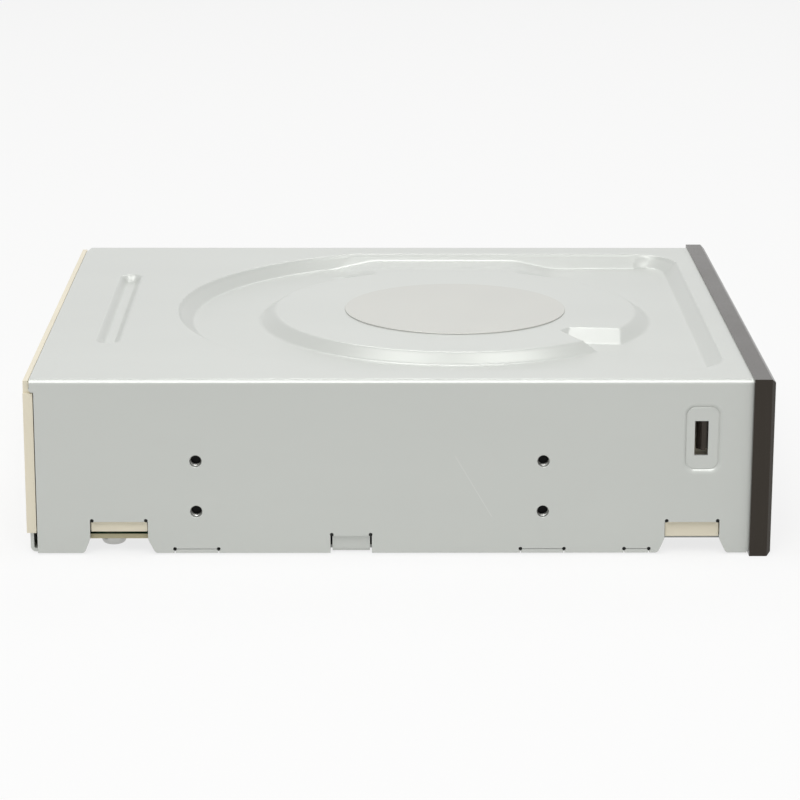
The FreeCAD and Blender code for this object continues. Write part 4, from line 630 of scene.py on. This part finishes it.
def emboss_patch(sheet):
    """The pressed pad as a fine grid round its slot."""
    y0, y1, z0, z1 = EMBOSS
    s0, s1, t0, t1 = HOOK_SLOT
    ys = np.unique(np.concatenate([np.arange(y0, y1, PAD_STEP), [y1, s0, s1]]).round(4))
    zs = np.unique(np.concatenate([np.arange(z0, z1, PAD_STEP), [z1, t0, t1]]).round(4))
    grid_y, grid_z = np.meshgrid(ys, zs)
    spots = zip(emboss_depth(grid_y, grid_z).ravel(), grid_y.ravel(), grid_z.ravel())
    points = [place(-CASE_HALF + depth, y, z) for depth, y, z in spots]
    slopes = slopes_of(emboss_depth, grid_y, grid_z, PAD_SLOPE_STEP)
    normals = [Vector((-1, a, b)).normalized() for a, b in zip(slopes[0].ravel(), slopes[1].ravel())]
    faces = []
    for face in grid_faces(len(zs), len(ys)):
        row, column = divmod(face[0], len(ys))
        in_slot = s0 - TINY < ys[column] < s1 - TINY and t0 - TINY < zs[row] < t1 - TINY
        if not in_slot:
            faces.append(face[::-1])
    sheet.add(points, faces, normals)
    slot = rectangle(*HOOK_SLOT)
    sunk = -CASE_HALF + EMBOSS_DEPTH
    cut_edge(sheet, slot + slot[:1], sunk, sunk + SHEET)


def bent_tab(sheet, start, end, depth, hole_y=None):
    """Tab at the foot of the wall, bent inward; hole_y is the place of its screw hole."""
    profile = [(-CASE_HALF, TAB_TOP)]
    leans = [(-1, 0)]
    for a in np.radians(np.linspace(180, 270, 7)):
        leans.append((math.cos(a), math.sin(a)))
        profile.append((-CASE_HALF + TAB_BEND * (1 + math.cos(a)), TAB_BEND * (1 + math.sin(a))))
    count = len(profile)
    points = [place(x, y, z) for y in (start, end) for x, z in profile]
    sheet.add(points, grid_faces(2, count), [Vector((a, 0, b)) for a, b in leans * 2])
    near = profile[-1][0]
    far = -CASE_HALF + depth
    outline = [(near, start), (far - TAB_CUT, start), (far, start + TAB_CUT)]
    outline += [(x, start + end - y) for x, y in reversed(outline)]
    loops = [outline]
    if hole_y is not None:
        loops.append(circle(-MOUNT_X, hole_y, HOLE_RADIUS))
    for height, outward in ((0.0, Vector((0, 0, -1))), (SHEET, Vector((0, 0, 1)))):
        flat_face(sheet, loops, lambda a, b: place(a, b, height), outward)
    for loop in loops:
        for a, b in zip(loop, loop[1:] + loop[:1]):
            sheet.add([place(*a, 0), place(*b, 0), place(*b, SHEET), place(*a, SHEET)], [[0, 1, 2, 3]])
    for y, way in ((start, -1), (end, 1)):
        rim = [place(x, y, z) for x, z in profile]
        inner = [place(-CASE_HALF + SHEET, y, TAB_TOP), place(near, y, SHEET)]
        face = list(range(count)) + [count + 1, count]
        sheet.add(rim + inner, [face], [Vector((0, way, 0))] * (count + 2))


def side_wall():
    """The near side wall with everything pressed or cut into it."""
    sheet = Sheet()
    inner = CASE_HALF - SHEET
    inward = Vector((1, 0, 0))
    pad = rectangle(*EMBOSS)
    outline = wall_outline()
    loops = [outline, pad] + [circle(y, z, HOLE_RIM) for y in MOUNT_Y for z in MOUNT_Z]
    flat_face(sheet, loops, lambda a, b: place(-CASE_HALF, a, b), -inward)
    flat_face(sheet, loops, lambda a, b: place(-inner, a, b), inward)
    around_slot = [pad, rectangle(*HOOK_SLOT)]
    flat_face(sheet, around_slot, lambda a, b: place(-inner + EMBOSS_DEPTH, a, b), inward)
    cut_edge(sheet, outline, -CASE_HALF, -inner)
    for y in MOUNT_Y:
        for z in MOUNT_Z:
            hole_rim(sheet, y, z)
        bent_tab(sheet, y - MOUNT_TAB_HALF, y + MOUNT_TAB_HALF, MOUNT_TAB_DEPTH, y)
    bent_tab(sheet, *HOOK_TAB, HOOK_TAB_DEPTH)
    emboss_patch(sheet)
    return sheet


def steel_cover():
    """The top with its relief and rolled bends, and both side walls."""
    sheet = Sheet()
    points, faces, normals, count = top_surface(GRID_STEP, 0.0, 1)
    sheet.add(points, faces, normals)
    sheet.add(*top_surface(UNDERSIDE_STEP, SHEET, -1)[:3])
    bend_z = place(0, 0, CASE_TOP - BEND).z

    def under(p):
        """The point one sheet deeper: sideways on the walls, downward on the top."""
        way = Vector((-p.x, 0, 0)) if p.z < bend_z else Vector((0, 0, -1))
        return p + way.normalized() * SHEET * MM

    for edge, face in ((points[:count], [0, 1, 2, 3]), (points[-count:], [3, 2, 1, 0])):
        for a, b in zip(edge, edge[1:]):
            sheet.add([a, under(a), under(b), b], [face])
    wall = side_wall()
    sheet.join(wall)
    sheet.join(wall.mirrored())
    return sheet.build("steel_cover")


# Surface finishes


def object_place(tree):
    return tree.nodes.new("ShaderNodeTexCoord").outputs["Object"]


def ramp(nodes, low, high, low_place=0.3, high_place=0.7):
    node = nodes.new("ShaderNodeValToRGB")
    for stop, colour, spot in zip(node.color_ramp.elements, (low, high), (low_place, high_place)):
        stop.position = spot
        stop.color = (*colour, 1)
    return node


def finish(
    name,
    colour,
    roughness,
    metallic=0.0,
    variation=0.06,
    patch=12.0,
    grain=0.25,
    grain_depth=0.01,
    stretch=(1, 1, 1),
    roughness_spread=0.06,
    coat=0.0,
    specular=0.5,
    tint=None,
):
    """A surface with mottled colour, uneven gloss and a fine grain; sizes in mm."""
    made = bpy.data.materials.new(name)
    made.use_nodes = True
    nodes = made.node_tree.nodes
    links = made.node_tree.links
    shader = nodes["Principled BSDF"]
    shader.inputs["Metallic"].default_value = metallic
    shader.inputs["Specular IOR Level"].default_value = specular
    if tint:
        shader.inputs["Specular Tint"].default_value = (*tint, 1)
    shader.inputs["Coat Weight"].default_value = coat
    shader.inputs["Coat Roughness"].default_value = 0.12
    scaled = nodes.new("ShaderNodeMapping")
    scaled.inputs["Scale"].default_value = stretch
    links.new(object_place(made.node_tree), scaled.inputs["Vector"])

    cloud = nodes.new("ShaderNodeTexNoise")
    cloud.inputs["Scale"].default_value = PER_METRE / patch
    cloud.inputs["Detail"].default_value = 5.0
    links.new(scaled.outputs["Vector"], cloud.inputs["Vector"])
    dark = [c * (1 - variation) for c in colour]
    light = [min(1.0, c * (1 + variation)) for c in colour]
    mottle = ramp(nodes, dark, light)
    links.new(cloud.outputs["Fac"], mottle.inputs["Fac"])
    links.new(mottle.outputs["Color"], shader.inputs["Base Color"])

    gloss = nodes.new("ShaderNodeMapRange")
    gloss.inputs["To Min"].default_value = max(0.02, roughness - roughness_spread)
    gloss.inputs["To Max"].default_value = roughness + roughness_spread
    links.new(cloud.outputs["Fac"], gloss.inputs["Value"])
    links.new(gloss.outputs["Result"], shader.inputs["Roughness"])

    fine = nodes.new("ShaderNodeTexNoise")
    fine.inputs["Scale"].default_value = PER_METRE / grain
    fine.inputs["Detail"].default_value = 3.0
    links.new(scaled.outputs["Vector"], fine.inputs["Vector"])
    bump = nodes.new("ShaderNodeBump")
    bump.inputs["Strength"].default_value = 0.6
    bump.inputs["Distance"].default_value = grain_depth * MM
    links.new(fine.outputs["Fac"], bump.inputs["Height"])
    links.new(bump.outputs["Normal"], shader.inputs["Normal"])
    return made


def math_node(tree, operation, a, b=None):
    """A Math node whose inputs are numbers or sockets."""
    node = tree.nodes.new("ShaderNodeMath")
    node.operation = operation
    for socket, value in zip(node.inputs, (a, b)):
        if value is None:
            continue
        if isinstance(value, (int, float)):
            socket.default_value = value
        else:
            tree.links.new(value, socket)
    return node.outputs["Value"]


def overlay(tree, factor, colour):
    """Mix a colour over the surface's own, by a socket's value."""
    base = tree.nodes["Principled BSDF"].inputs["Base Color"]
    mix = tree.nodes.new("ShaderNodeMix")
    mix.data_type = "RGBA"
    tree.links.new(factor, mix.inputs["Factor"])
    tree.links.new(base.links[0].from_socket, mix.inputs[6])
    mix.inputs[7].default_value = (*colour, 1)
    tree.links.new(mix.outputs[2], base)


def add_scratch(tree, start, end):
    """A faint bright scratch on the near side wall between two (Y, Z) points in mm."""
    parts = tree.nodes.new("ShaderNodeSeparateXYZ")
    tree.links.new(object_place(tree), parts.inputs["Vector"])
    a = place(0, *start)
    b = place(0, *end)
    along = (b - a).normalized()

    def calc(operation, first, second=None):
        return math_node(tree, operation, first, second)

    dy = calc("SUBTRACT", parts.outputs["Y"], a.y)
    dz = calc("SUBTRACT", parts.outputs["Z"], a.z)
    forward = calc("ADD", calc("MULTIPLY", dy, along.y), calc("MULTIPLY", dz, along.z))
    across = calc("SUBTRACT", calc("MULTIPLY", dy, along.z), calc("MULTIPLY", dz, along.y))
    mask = calc("LESS_THAN", calc("ABSOLUTE", across), SCRATCH_WIDTH * MM)
    mask = calc("MULTIPLY", mask, calc("GREATER_THAN", forward, 0.0))
    mask = calc("MULTIPLY", mask, calc("LESS_THAN", forward, (b - a).length))
    mask = calc("MULTIPLY", mask, calc("LESS_THAN", parts.outputs["X"], (1 - CASE_HALF) * MM))
    overlay(tree, calc("MULTIPLY", mask, SCRATCH_SHARE), (0.9, 0.9, 0.88))


def board_material(name):
    """Green solder mask with lighter copper tracks under it, and the bare board at its edges."""
    made = finish(name, (0.010, 0.060, 0.028), 0.4, variation=0.1, coat=0.08, grain_depth=0.004)
    tree = made.node_tree
    cells = tree.nodes.new("ShaderNodeTexBrick")
    cells.inputs["Scale"].default_value = 420.0
    cells.inputs["Mortar Size"].default_value = 0.07
    cells.inputs["Brick Width"].default_value = 1.9
    cells.inputs["Row Height"].default_value = 0.42
    cells.offset = 0.37
    tree.links.new(object_place(tree), cells.inputs["Vector"])
    overlay(tree, cells.outputs["Fac"], (0.017, 0.095, 0.042))
    surface = tree.nodes.new("ShaderNodeNewGeometry")
    facing = tree.nodes.new("ShaderNodeSeparateXYZ")
    tree.links.new(surface.outputs["True Normal"], facing.inputs["Vector"])
    level = math_node(tree, "ABSOLUTE", facing.outputs["Z"])
    overlay(tree, math_node(tree, "LESS_THAN", level, 0.5), (0.42, 0.38, 0.24))
    return made


def cable_material(name):
    """Pale flat cable with its grey conductors showing through."""
    made = finish(name, (0.78, 0.78, 0.74), 0.35, variation=0.03, coat=0.3)
    tree = made.node_tree
    stripes = tree.nodes.new("ShaderNodeTexWave")
    stripes.inputs["Scale"].default_value = 320.0
    stripes.bands_direction = "X"
    tree.links.new(object_place(tree), stripes.inputs["Vector"])
    overlay(tree, math_node(tree, "MULTIPLY", stripes.outputs["Fac"], 0.45), (0.42, 0.42, 0.41))
    return made


finishes = {
    "case_steel": finish(
        "coated_steel", (0.575, 0.592, 0.562), 0.33, metallic=0.35, variation=0.018, patch=30,
        grain=0.5, grain_depth=0.004, stretch=(1, 0.25, 1), roughness_spread=0.03,
    ),
    "foil": finish(
        "foil", (0.542, 0.544, 0.508), 0.34, metallic=0.45, variation=0.015, grain=0.8, grain_depth=0.003
    ),
    "chassis_plastic": finish(
        "pale_plastic", (0.80, 0.74, 0.59), 0.5, variation=0.03, patch=20, grain_depth=0.008
    ),
    "bezel_plastic": finish(
        "dark_plastic", (0.017, 0.0125, 0.010), 0.24, variation=0.08, grain=0.35, grain_depth=0.006,
        specular=0.42, tint=(1.0, 0.93, 0.80),
    ),
    "clear_plastic": finish("milky_plastic", (0.75, 0.80, 0.78), 0.2, variation=0.03, coat=0.5),
    "circuit_board": board_material("circuit_board"),
    "black_plastic": finish(
        "black_plastic", (0.022, 0.022, 0.023), 0.45, variation=0.1, grain=0.3, grain_depth=0.015
    ),
    "white_plastic": finish(
        "white_plastic", (0.78, 0.77, 0.72), 0.38, variation=0.02, grain_depth=0.004
    ),
    "bright_aluminium": finish(
        "bright_aluminium", (0.72, 0.73, 0.74), 0.3, metallic=1.0, stretch=(4, 4, 1)
    ),
    "gold_contacts": finish("gold_contacts", (0.85, 0.62, 0.24), 0.22, metallic=1.0, variation=0.04),
    "motor_steel": finish(
        "motor_steel", (0.58, 0.58, 0.57), 0.3, metallic=1.0, variation=0.04, stretch=(1, 1, 6)
    ),
    "polished_steel": finish(
        "polished_steel", (0.68, 0.69, 0.70), 0.14, metallic=1.0, variation=0.02, grain_depth=0.002
    ),
    "screw_steel": finish("screw_steel", (0.50, 0.50, 0.48), 0.3, metallic=1.0, variation=0.06),
    "cast_metal": finish(
        "cast_metal", (0.40, 0.40, 0.39), 0.5, metallic=0.9, variation=0.1, grain=0.6, grain_depth=0.03
    ),
    "belt_rubber": finish("belt_rubber", (0.018, 0.018, 0.018), 0.75, variation=0.15, grain_depth=0.02),
    "damper_rubber": finish("damper_rubber", (0.07, 0.07, 0.075), 0.7, variation=0.12, grain_depth=0.02),
    "lens_glass": finish(
        "lens_glass", (0.55, 0.66, 0.78), 0.05, variation=0.02, coat=1.0, grain_depth=0.0005
    ),
    "flat_cable": cable_material("flat_cable"),
}
add_scratch(finishes["case_steel"].node_tree, *SCRATCH)


def dress(obj, slot_name, body="chassis"):
    """Finish, ride and slot of a new piece."""
    obj.data.materials.clear()
    obj.data.materials.append(finishes[slot_name])
    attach(obj, body)
    return obj


# Carried-over CAD nodes: finish, softened edges, smooth rounds

slot_of = {entry["node"]: entry["material_slot"] for entry in frame["record"]["subparts"]}


def soften(node, width):
    """Rounded edges on a CAD node, as a modifier."""
    bevel = node.modifiers.new("soft_edges", "BEVEL")
    bevel.width = width * MM
    bevel.segments = 2
    bevel.limit_method = "ANGLE"
    bevel.angle_limit = BEVEL_ANGLE
    bevel.use_clamp_overlap = True
    bevel.harden_normals = False


for node_name, node in frame["nodes"].items():
    node.data.materials.clear()
    node.data.materials.append(finishes[slot_of[node_name]])
    node.data.polygons.foreach_set("use_smooth", [True] * len(node.data.polygons))
    node.data.set_sharp_from_angle(angle=SMOOTH_ANGLE)
    if node_name in BEVELS:
        soften(node, BEVELS[node_name])

# Pieces that replace CAD nodes with a finer form

cover = dress(steel_cover(), "case_steel")
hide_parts("top_cover")

foil_top = CASE_TOP - PLATEAU_DROP + FOIL_THICKNESS
foil_profile = [(AXIS, foil_top)] + [(FOIL_RADIUS - a, foil_top - b) for a, b in FOIL_EDGE]
foil_profile.append((FOIL_RADIUS, foil_top - FOIL_THICKNESS))
foil_sheet = moved(lathe(foil_profile, FOIL_STEPS), Matrix.Translation(place(0, DISC_Y, 0)))
foil = foil_sheet.build("round_foil")
dress(foil, "foil")
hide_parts("seal_foil")


def cross_outline(reach, half):
    """Outline of a cross: one arm, turned three times by a quarter."""
    arm = [(reach, -half), (reach, half), (half, half)]
    outline = []
    for _ in range(4):
        outline += arm
        arm = [(-b, a) for a, b in arm]
    return outline


def screw(head_radius, head_height, length):
    """Pan head screw with a cross recess: head up, its bearing face at height 0."""
    flat = HEAD_FLAT * head_radius
    shoulder = HEAD_SHOULDER * head_height
    profile = [(flat, head_height)]
    for a in np.radians(np.linspace(88, 0, 8)):
        height = shoulder + (head_height - shoulder) * math.sin(a)
        profile.append((flat + (head_radius - flat) * math.cos(a), height))
    profile += [(head_radius, HEAD_EDGE)] + [(head_radius - HEAD_EDGE, 0.0)] * 2
    profile += [(SHANK_RADIUS, 0.0)] * 2
    depth = 0.0
    while depth < length - TIP_LENGTH:
        profile += [(SHANK_RADIUS, -depth), (SHANK_RADIUS - THREAD_DEPTH, -depth - THREAD_PITCH / 2)]
        depth += THREAD_PITCH
    profile += [(SHANK_RADIUS - TIP_RADIUS, TIP_LENGTH / 2 - length)]
    profile += [(TIP_RADIUS, -length), (AXIS, -length)]
    sheet = lathe(profile, SCREW_STEPS)
    top = cross_outline(*[share * head_radius for share in CROSS_TOP])
    low = cross_outline(*[share * head_radius for share in CROSS_FLOOR])
    floor = CROSS_HEIGHT * head_height
    rim = [(flat * math.cos(a), flat * math.sin(a)) for a in turns_of(SCREW_STEPS)]
    flat_face(sheet, [rim, top], lambda a, b: Vector((a, b, head_height)) * MM, Vector((0, 0, 1)))
    flat_face(sheet, [low], lambda a, b: Vector((a, b, floor)) * MM, Vector((0, 0, 1)))
    for i in range(len(top)):
        j = (i + 1) % len(top)
        wall = [(*top[j], head_height), (*top[i], head_height), (*low[i], floor), (*low[j], floor)]
        sheet.add([Vector(p) * MM for p in wall], [[0, 1, 2, 3]])
    return sheet


def screws(name, body, down, groups):
    """Screws in place of a CAD node: groups of (screw's sizes, places); down turns their heads down."""
    sheet = Sheet()
    turn = 0.0
    for sizes, places in groups:
        made = screw(*sizes)
        for spot in places:
            turn += SCREW_TURN
            matrix = Matrix.Translation(place(*spot))
            if down:
                matrix = matrix @ Matrix.Rotation(math.pi, 4, "X")
            sheet.join(moved(made, matrix @ Matrix.Rotation(turn, 4, "Z")))
    made = dress(sheet.build(name + "_detailed"), slot_of[name], body)
    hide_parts(name)


board_places = [(x, y, 3.0) for x in (-67.3, 67.3) for y in (102.0, 146.0)]
front_places = [(28.0, 20.0, 3.4), (60.0, 20.0, 3.4)]
cover_places = [(-57.0, 31.0, 1.5), (57.0, 31.0, 1.5), (-57.0, 156.5, 1.5), (12.0, 156.5, 1.5)]
bridge_places = [(x, y, 33.4) for x in (-63.6, 63.6) for y in (50.0, 81.4)]
damper_places = [(x, y, 19.7) for x in (-42.7, 42.7) for y in (50.0, 133.0)]
screws("board_screws", "chassis", True, [(BOARD_SCREW, board_places), (FRONT_SCREW, front_places)])
screws("cover_screws", "chassis", True, [(COVER_SCREW, cover_places)])
screws("bridge_screws", "chassis", False, [(BRIDGE_SCREW, bridge_places)])
screws("damper_screws", "traverse", False, [(DAMPER_SCREW, damper_places)])


def painted_shade_plugs():
    """Painted shade: near-black cups at the ends of the eight side holes, and near-black discs behind the
    round relief holes.
    """
    sheet = Sheet()
    turn = Matrix.Rotation(-math.pi / 2, 4, "Y")
    shade_cup = lathe(SHADE_CUP, SCREW_STEPS)
    for y in MOUNT_Y:
        for z in MOUNT_Z:
            sheet.join(moved(shade_cup, Matrix.Translation(place(-CASE_HALF, y, z)) @ turn))
    shade_disc = lathe(SHADE_DISC, SMALL_STEPS)
    behind = -CASE_HALF + SHEET + SHADE_DISC_GAP
    tabs = [(y - MOUNT_TAB_HALF, y + MOUNT_TAB_HALF) for y in MOUNT_Y] + [HOOK_TAB]
    spots = [(y, SLIT_HOLE_Z) for start, end in tabs for y in (start - SLIT_GAP, end + SLIT_GAP)]
    in_from, above = SHADE_DISC_PLACE
    for start, end, top in (FRONT_NOTCH[:3], REAR_NOTCH[:3], WINDOW):
        spots += [(start + in_from, top + above), (end - in_from, top + above)]
    for y, z in spots:
        sheet.join(moved(shade_disc, Matrix.Translation(place(behind, y, z)) @ turn))
    sheet.join(sheet.mirrored())
    # The near-black rubber finish on these cups and discs is painted shade, not a real part.
    dress(sheet.build("painted_shade_plugs"), "belt_rubber")


def hole_sleeves():
    """Bright threaded sleeves of the eight side holes."""
    profile = [(SLEEVE_RADIUS, -SLEEVE_MOUTH)]
    depth, end = SLEEVE_SPAN
    while depth < end:
        profile += [(SLEEVE_RADIUS - SLEEVE_THREAD, -depth - SLEEVE_PITCH / 2)]
        profile += [(SLEEVE_RADIUS, -depth - SLEEVE_PITCH)]
        depth += SLEEVE_PITCH
    sheet = Sheet()
    for y in MOUNT_Y:
        for z in MOUNT_Z:
            tube(sheet, y, z, profile)
    sheet.join(sheet.mirrored())
    dress(sheet.build("hole_sleeves"), "screw_steel")


def bevelled_box(low, high, bevel):
    """Box with its edges cut at 45 degrees, from corner to corner in datum places."""
    corners = []
    for pick in range(8):
        side = [(pick >> i) & 1 for i in range(3)]
        for axis in range(3):
            spot = []
            for i in range(3):
                edge = high[i] if side[i] else low[i]
                back = 0 if i == axis else bevel
                spot.append(edge - back if side[i] else edge + back)
            corners.append(place(*spot))
    mesh = bmesh.new()
    for corner in corners:
        mesh.verts.new(corner)
    bmesh.ops.convex_hull(mesh, input=mesh.verts)
    mesh.verts.index_update()
    box = Sheet()
    box.add([v.co.copy() for v in mesh.verts], [[v.index for v in f.verts] for f in mesh.faces])
    mesh.free()
    return box


def foot_panels():
    """Pale feet of the chassis that show in the cuts of the lower edge."""
    sheet = Sheet()
    outer = -CASE_HALF + SHEET + FOOT_GAP
    for start, end, low, top in FEET:
        sheet.join(bevelled_box((outer, start, low), (outer + FOOT_THICK, end, top), FOOT_BEVEL))
    sheet.join(sheet.mirrored())
    dress(sheet.build("foot_panels"), "chassis_plastic")


def lead_screw_thread():
    """Lead screw with its rounded thread, about Y."""
    start, end = LEAD_SPAN
    rows = np.arange(start, end + 0.01, LEAD_PITCH / 8)
    turns = turns_of(SMALL_STEPS)
    count = len(turns)
    points = []
    normals = []
    for row in rows:
        fade = min(1.0, (row - start) / LEAD_FADE, (end - row) / LEAD_FADE)
        for a in turns:
            phase = a - 2 * math.pi * row / LEAD_PITCH
            r = LEAD_RADIUS - LEAD_DEPTH * fade * (0.5 + 0.5 * math.cos(phase))
            slope = -LEAD_DEPTH * fade * math.pi / LEAD_PITCH * math.sin(phase)
            points.append(place(LEAD_X + r * math.cos(a), row, LEAD_Z + r * math.sin(a)))
            normals.append(Vector((math.cos(a), -slope, math.sin(a))).normalized())
    faces = []
    for j in range(0, (len(rows) - 1) * count, count):
        for k in range(count):
            n = (k + 1) % count
            faces.append([j + k, j + count + k, j + count + n, j + n])
    sheet = Sheet()
    sheet.add(points, faces, normals)
    circle_xz = arc(LEAD_X, LEAD_Z, LEAD_RADIUS, 0, 360 - 360 / count, count)
    for row, way in ((start, -1), (end, 1)):
        ring = [place(x, row, z) for x, z in circle_xz]
        sheet.add(ring, [list(range(count))[::-way]], [Vector((0, way, 0))] * count)
    matrix = Matrix.Translation(place(LEAD_X, JOURNAL_Y, LEAD_Z)) @ Matrix.Rotation(math.pi / 2, 4, "X")
    sheet.join(moved(lathe(JOURNAL, SMALL_STEPS), matrix))
    made = dress(sheet.build("threaded_lead_screw"), "polished_steel", "lead_screw")
    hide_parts("lead_screw")


# Painted shade inside the side holes and behind the relief holes
painted_shade_plugs()
hole_sleeves()
foot_panels()


def ribbon(name, path):
    """Flat cable of even thickness along a line of Y and Z places."""
    line = np.array(path, float)
    along = np.gradient(line, axis=0)
    along /= np.linalg.norm(along, axis=1)[:, None]
    across = np.stack([-along[:, 1], along[:, 0]], axis=1)
    sheet = Sheet()
    count = len(line)
    edges = {}
    for way in (1, -1):
        for x in (-CABLE_HALF, CABLE_HALF):
            shift = way * CABLE_THICK / 2
            edges[way, x] = [place(x, y + shift * n, z + shift * m) for (y, z), (n, m) in zip(line, across)]

    def strip(first, second, normals):
        points = first + second
        faces = []
        for i in range(count - 1):
            face = [i, i + 1, count + i + 1, count + i]
            flat = (points[i + 1] - points[i]).cross(points[count + i] - points[i])
            faces.append(face if flat.dot(normals[i]) > 0 else face[::-1])
        sheet.add(points, faces, normals * 2)

    for way in (1, -1):
        out = [Vector((0, way * n, way * m)) for n, m in across]
        strip(edges[way, -CABLE_HALF], edges[way, CABLE_HALF], out)
    for x in (-CABLE_HALF, CABLE_HALF):
        strip(edges[1, x], edges[-1, x], [Vector((math.copysign(1, x), 0, 0))] * count)
    for end in (0, -1):
        quad = [edges[1, -CABLE_HALF][end], edges[1, CABLE_HALF][end]]
        quad += [edges[-1, CABLE_HALF][end], edges[-1, -CABLE_HALF][end]]
        sheet.add(quad, [[0, 1, 2, 3] if end else [3, 2, 1, 0]])
    made = sheet.build(name)
    made.data.materials.append(finishes["flat_cable"])
    return made


def flat_cable():
    """The cable's loop from its socket up to its upper level, and its upper run."""
    loop_y = CABLE_FRONT + CABLE_BEND
    low_z = CABLE_LOW + CABLE_BEND
    high_z = CABLE_HIGH - CABLE_BEND
    path = [(y, CABLE_LOW) for y in np.arange(CABLE_SOCKET, loop_y + CABLE_STEP / 2, -CABLE_STEP)]
    path += arc(loop_y, low_z, CABLE_BEND, 270, 180, 10)
    path += [(CABLE_FRONT, z) for z in np.linspace(low_z, high_z, 6)[1:-1]]
    path += arc(loop_y, high_z, CABLE_BEND, 180, 90, 10)
    path += [(CABLE_SPLIT, CABLE_HIGH)]
    fold = ribbon("cable_fold", path)
    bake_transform(fold)
    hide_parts("pickup_ffc")
    run = ribbon("cable_run", [(y, CABLE_HIGH) for y in np.linspace(CABLE_SPLIT, CABLE_END, 24)])
    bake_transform(run)


flat_cable()
lead_screw_thread()

# Stage, lamps and camera


def seen_directly(tree):
    """1 where a ray from the camera, gloss or glass meets the surface, and 0 where light does."""
    light_path = tree.nodes.new("ShaderNodeLightPath")
    seen = light_path.outputs["Is Camera Ray"]
    for kind in ("Is Glossy Ray", "Is Transmission Ray"):
        seen = math_node(tree, "MAXIMUM", seen, light_path.outputs[kind])
    return seen


def mix_shaders(tree, share, first, second, output):
    """Two shaders mixed by a socket's value, into the material's or the world's output."""
    mix = tree.nodes.new("ShaderNodeMixShader")
    tree.links.new(share, mix.inputs["Fac"])
    tree.links.new(first, mix.inputs[1])
    tree.links.new(second, mix.inputs[2])
    tree.links.new(mix.outputs["Shader"], output.inputs["Surface"])


def pale_floor():
    """Wide floor that shows nearly white to the camera and still takes the drive's shadow."""
    mesh = bpy.data.meshes.new("floor")
    corners = rectangle(-FLOOR_HALF, FLOOR_HALF, -FLOOR_HALF, FLOOR_HALF)
    mesh.from_pydata([(*corner, 0) for corner in corners], [], [[0, 1, 2, 3]])
    floor = bpy.data.objects.new("floor", mesh)
    bpy.context.scene.collection.objects.link(floor)
    made = bpy.data.materials.new("pale_floor")
    made.use_nodes = True
    tree = made.node_tree
    shader = tree.nodes["Principled BSDF"]
    shader.inputs["Base Color"].default_value = (0.86, 0.86, 0.85, 1)
    shader.inputs["Roughness"].default_value = 0.9
    glow = tree.nodes.new("ShaderNodeEmission")
    glow.inputs["Color"].default_value = (1, 1, 1, 1)
    share = math_node(tree, "MULTIPLY", seen_directly(tree), FLOOR_GLOW)
    output = tree.nodes["Material Output"]
    mix_shaders(tree, share, shader.outputs["BSDF"], glow.outputs["Emission"], output)
    mesh.materials.append(made)


def studio_world():
    """White where it is seen, a soft level where it lights."""
    world = bpy.data.worlds.new("studio")
    bpy.context.scene.world = world
    world.use_nodes = True
    tree = world.node_tree
    tree.nodes.clear()
    output = tree.nodes.new("ShaderNodeOutputWorld")
    levels = []
    for strength in (WORLD_LEVEL, 1.0):
        level = tree.nodes.new("ShaderNodeBackground")
        level.inputs["Color"].default_value = (1, 1, 1, 1)
        level.inputs["Strength"].default_value = strength
        levels.append(level.outputs["Background"])
    mix_shaders(tree, seen_directly(tree), *levels, output)


def lamp(name, place_m, size, power):
    """Square soft box that faces the drive."""
    data = bpy.data.lights.new(name, "AREA")
    data.shape = "SQUARE"
    data.size = size
    data.energy = power
    made = bpy.data.objects.new(name, data)
    made.location = place_m
    made.rotation_mode = "QUATERNION"
    made.rotation_quaternion = (-Vector(place_m)).to_track_quat("-Z", "Y")
    bpy.context.scene.collection.objects.link(made)


pale_floor()
studio_world()
for lamp_name, lamp_place, lamp_size, lamp_power in LAMPS:
    lamp(lamp_name, lamp_place, lamp_size, lamp_power)


def photo_camera():
    """Camera in the photograph's place: turned by yaw, pitch and roll from a look along +X."""
    data = bpy.data.cameras.new("camera")
    data.lens = CAMERA_LENS
    data.sensor_width = SENSOR
    data.clip_start = 0.01
    data.clip_end = 20.0
    made = bpy.data.objects.new("camera", data)
    level = Matrix(((0, -1, 0), (0, 0, 1), (-1, 0, 0)))
    turn = (
        Matrix.Rotation(CAMERA_ROLL, 3, "Z")
        @ Matrix.Rotation(CAMERA_PITCH, 3, "X")
        @ level
        @ Matrix.Rotation(CAMERA_YAW, 3, "Z")
    )
    made.matrix_world = Matrix.Translation(CAMERA_PLACE) @ turn.transposed().to_4x4()
    bpy.context.scene.collection.objects.link(made)
    bpy.context.scene.camera = made


photo_camera()
bpy.context.scene.view_settings.view_transform = "Standard"
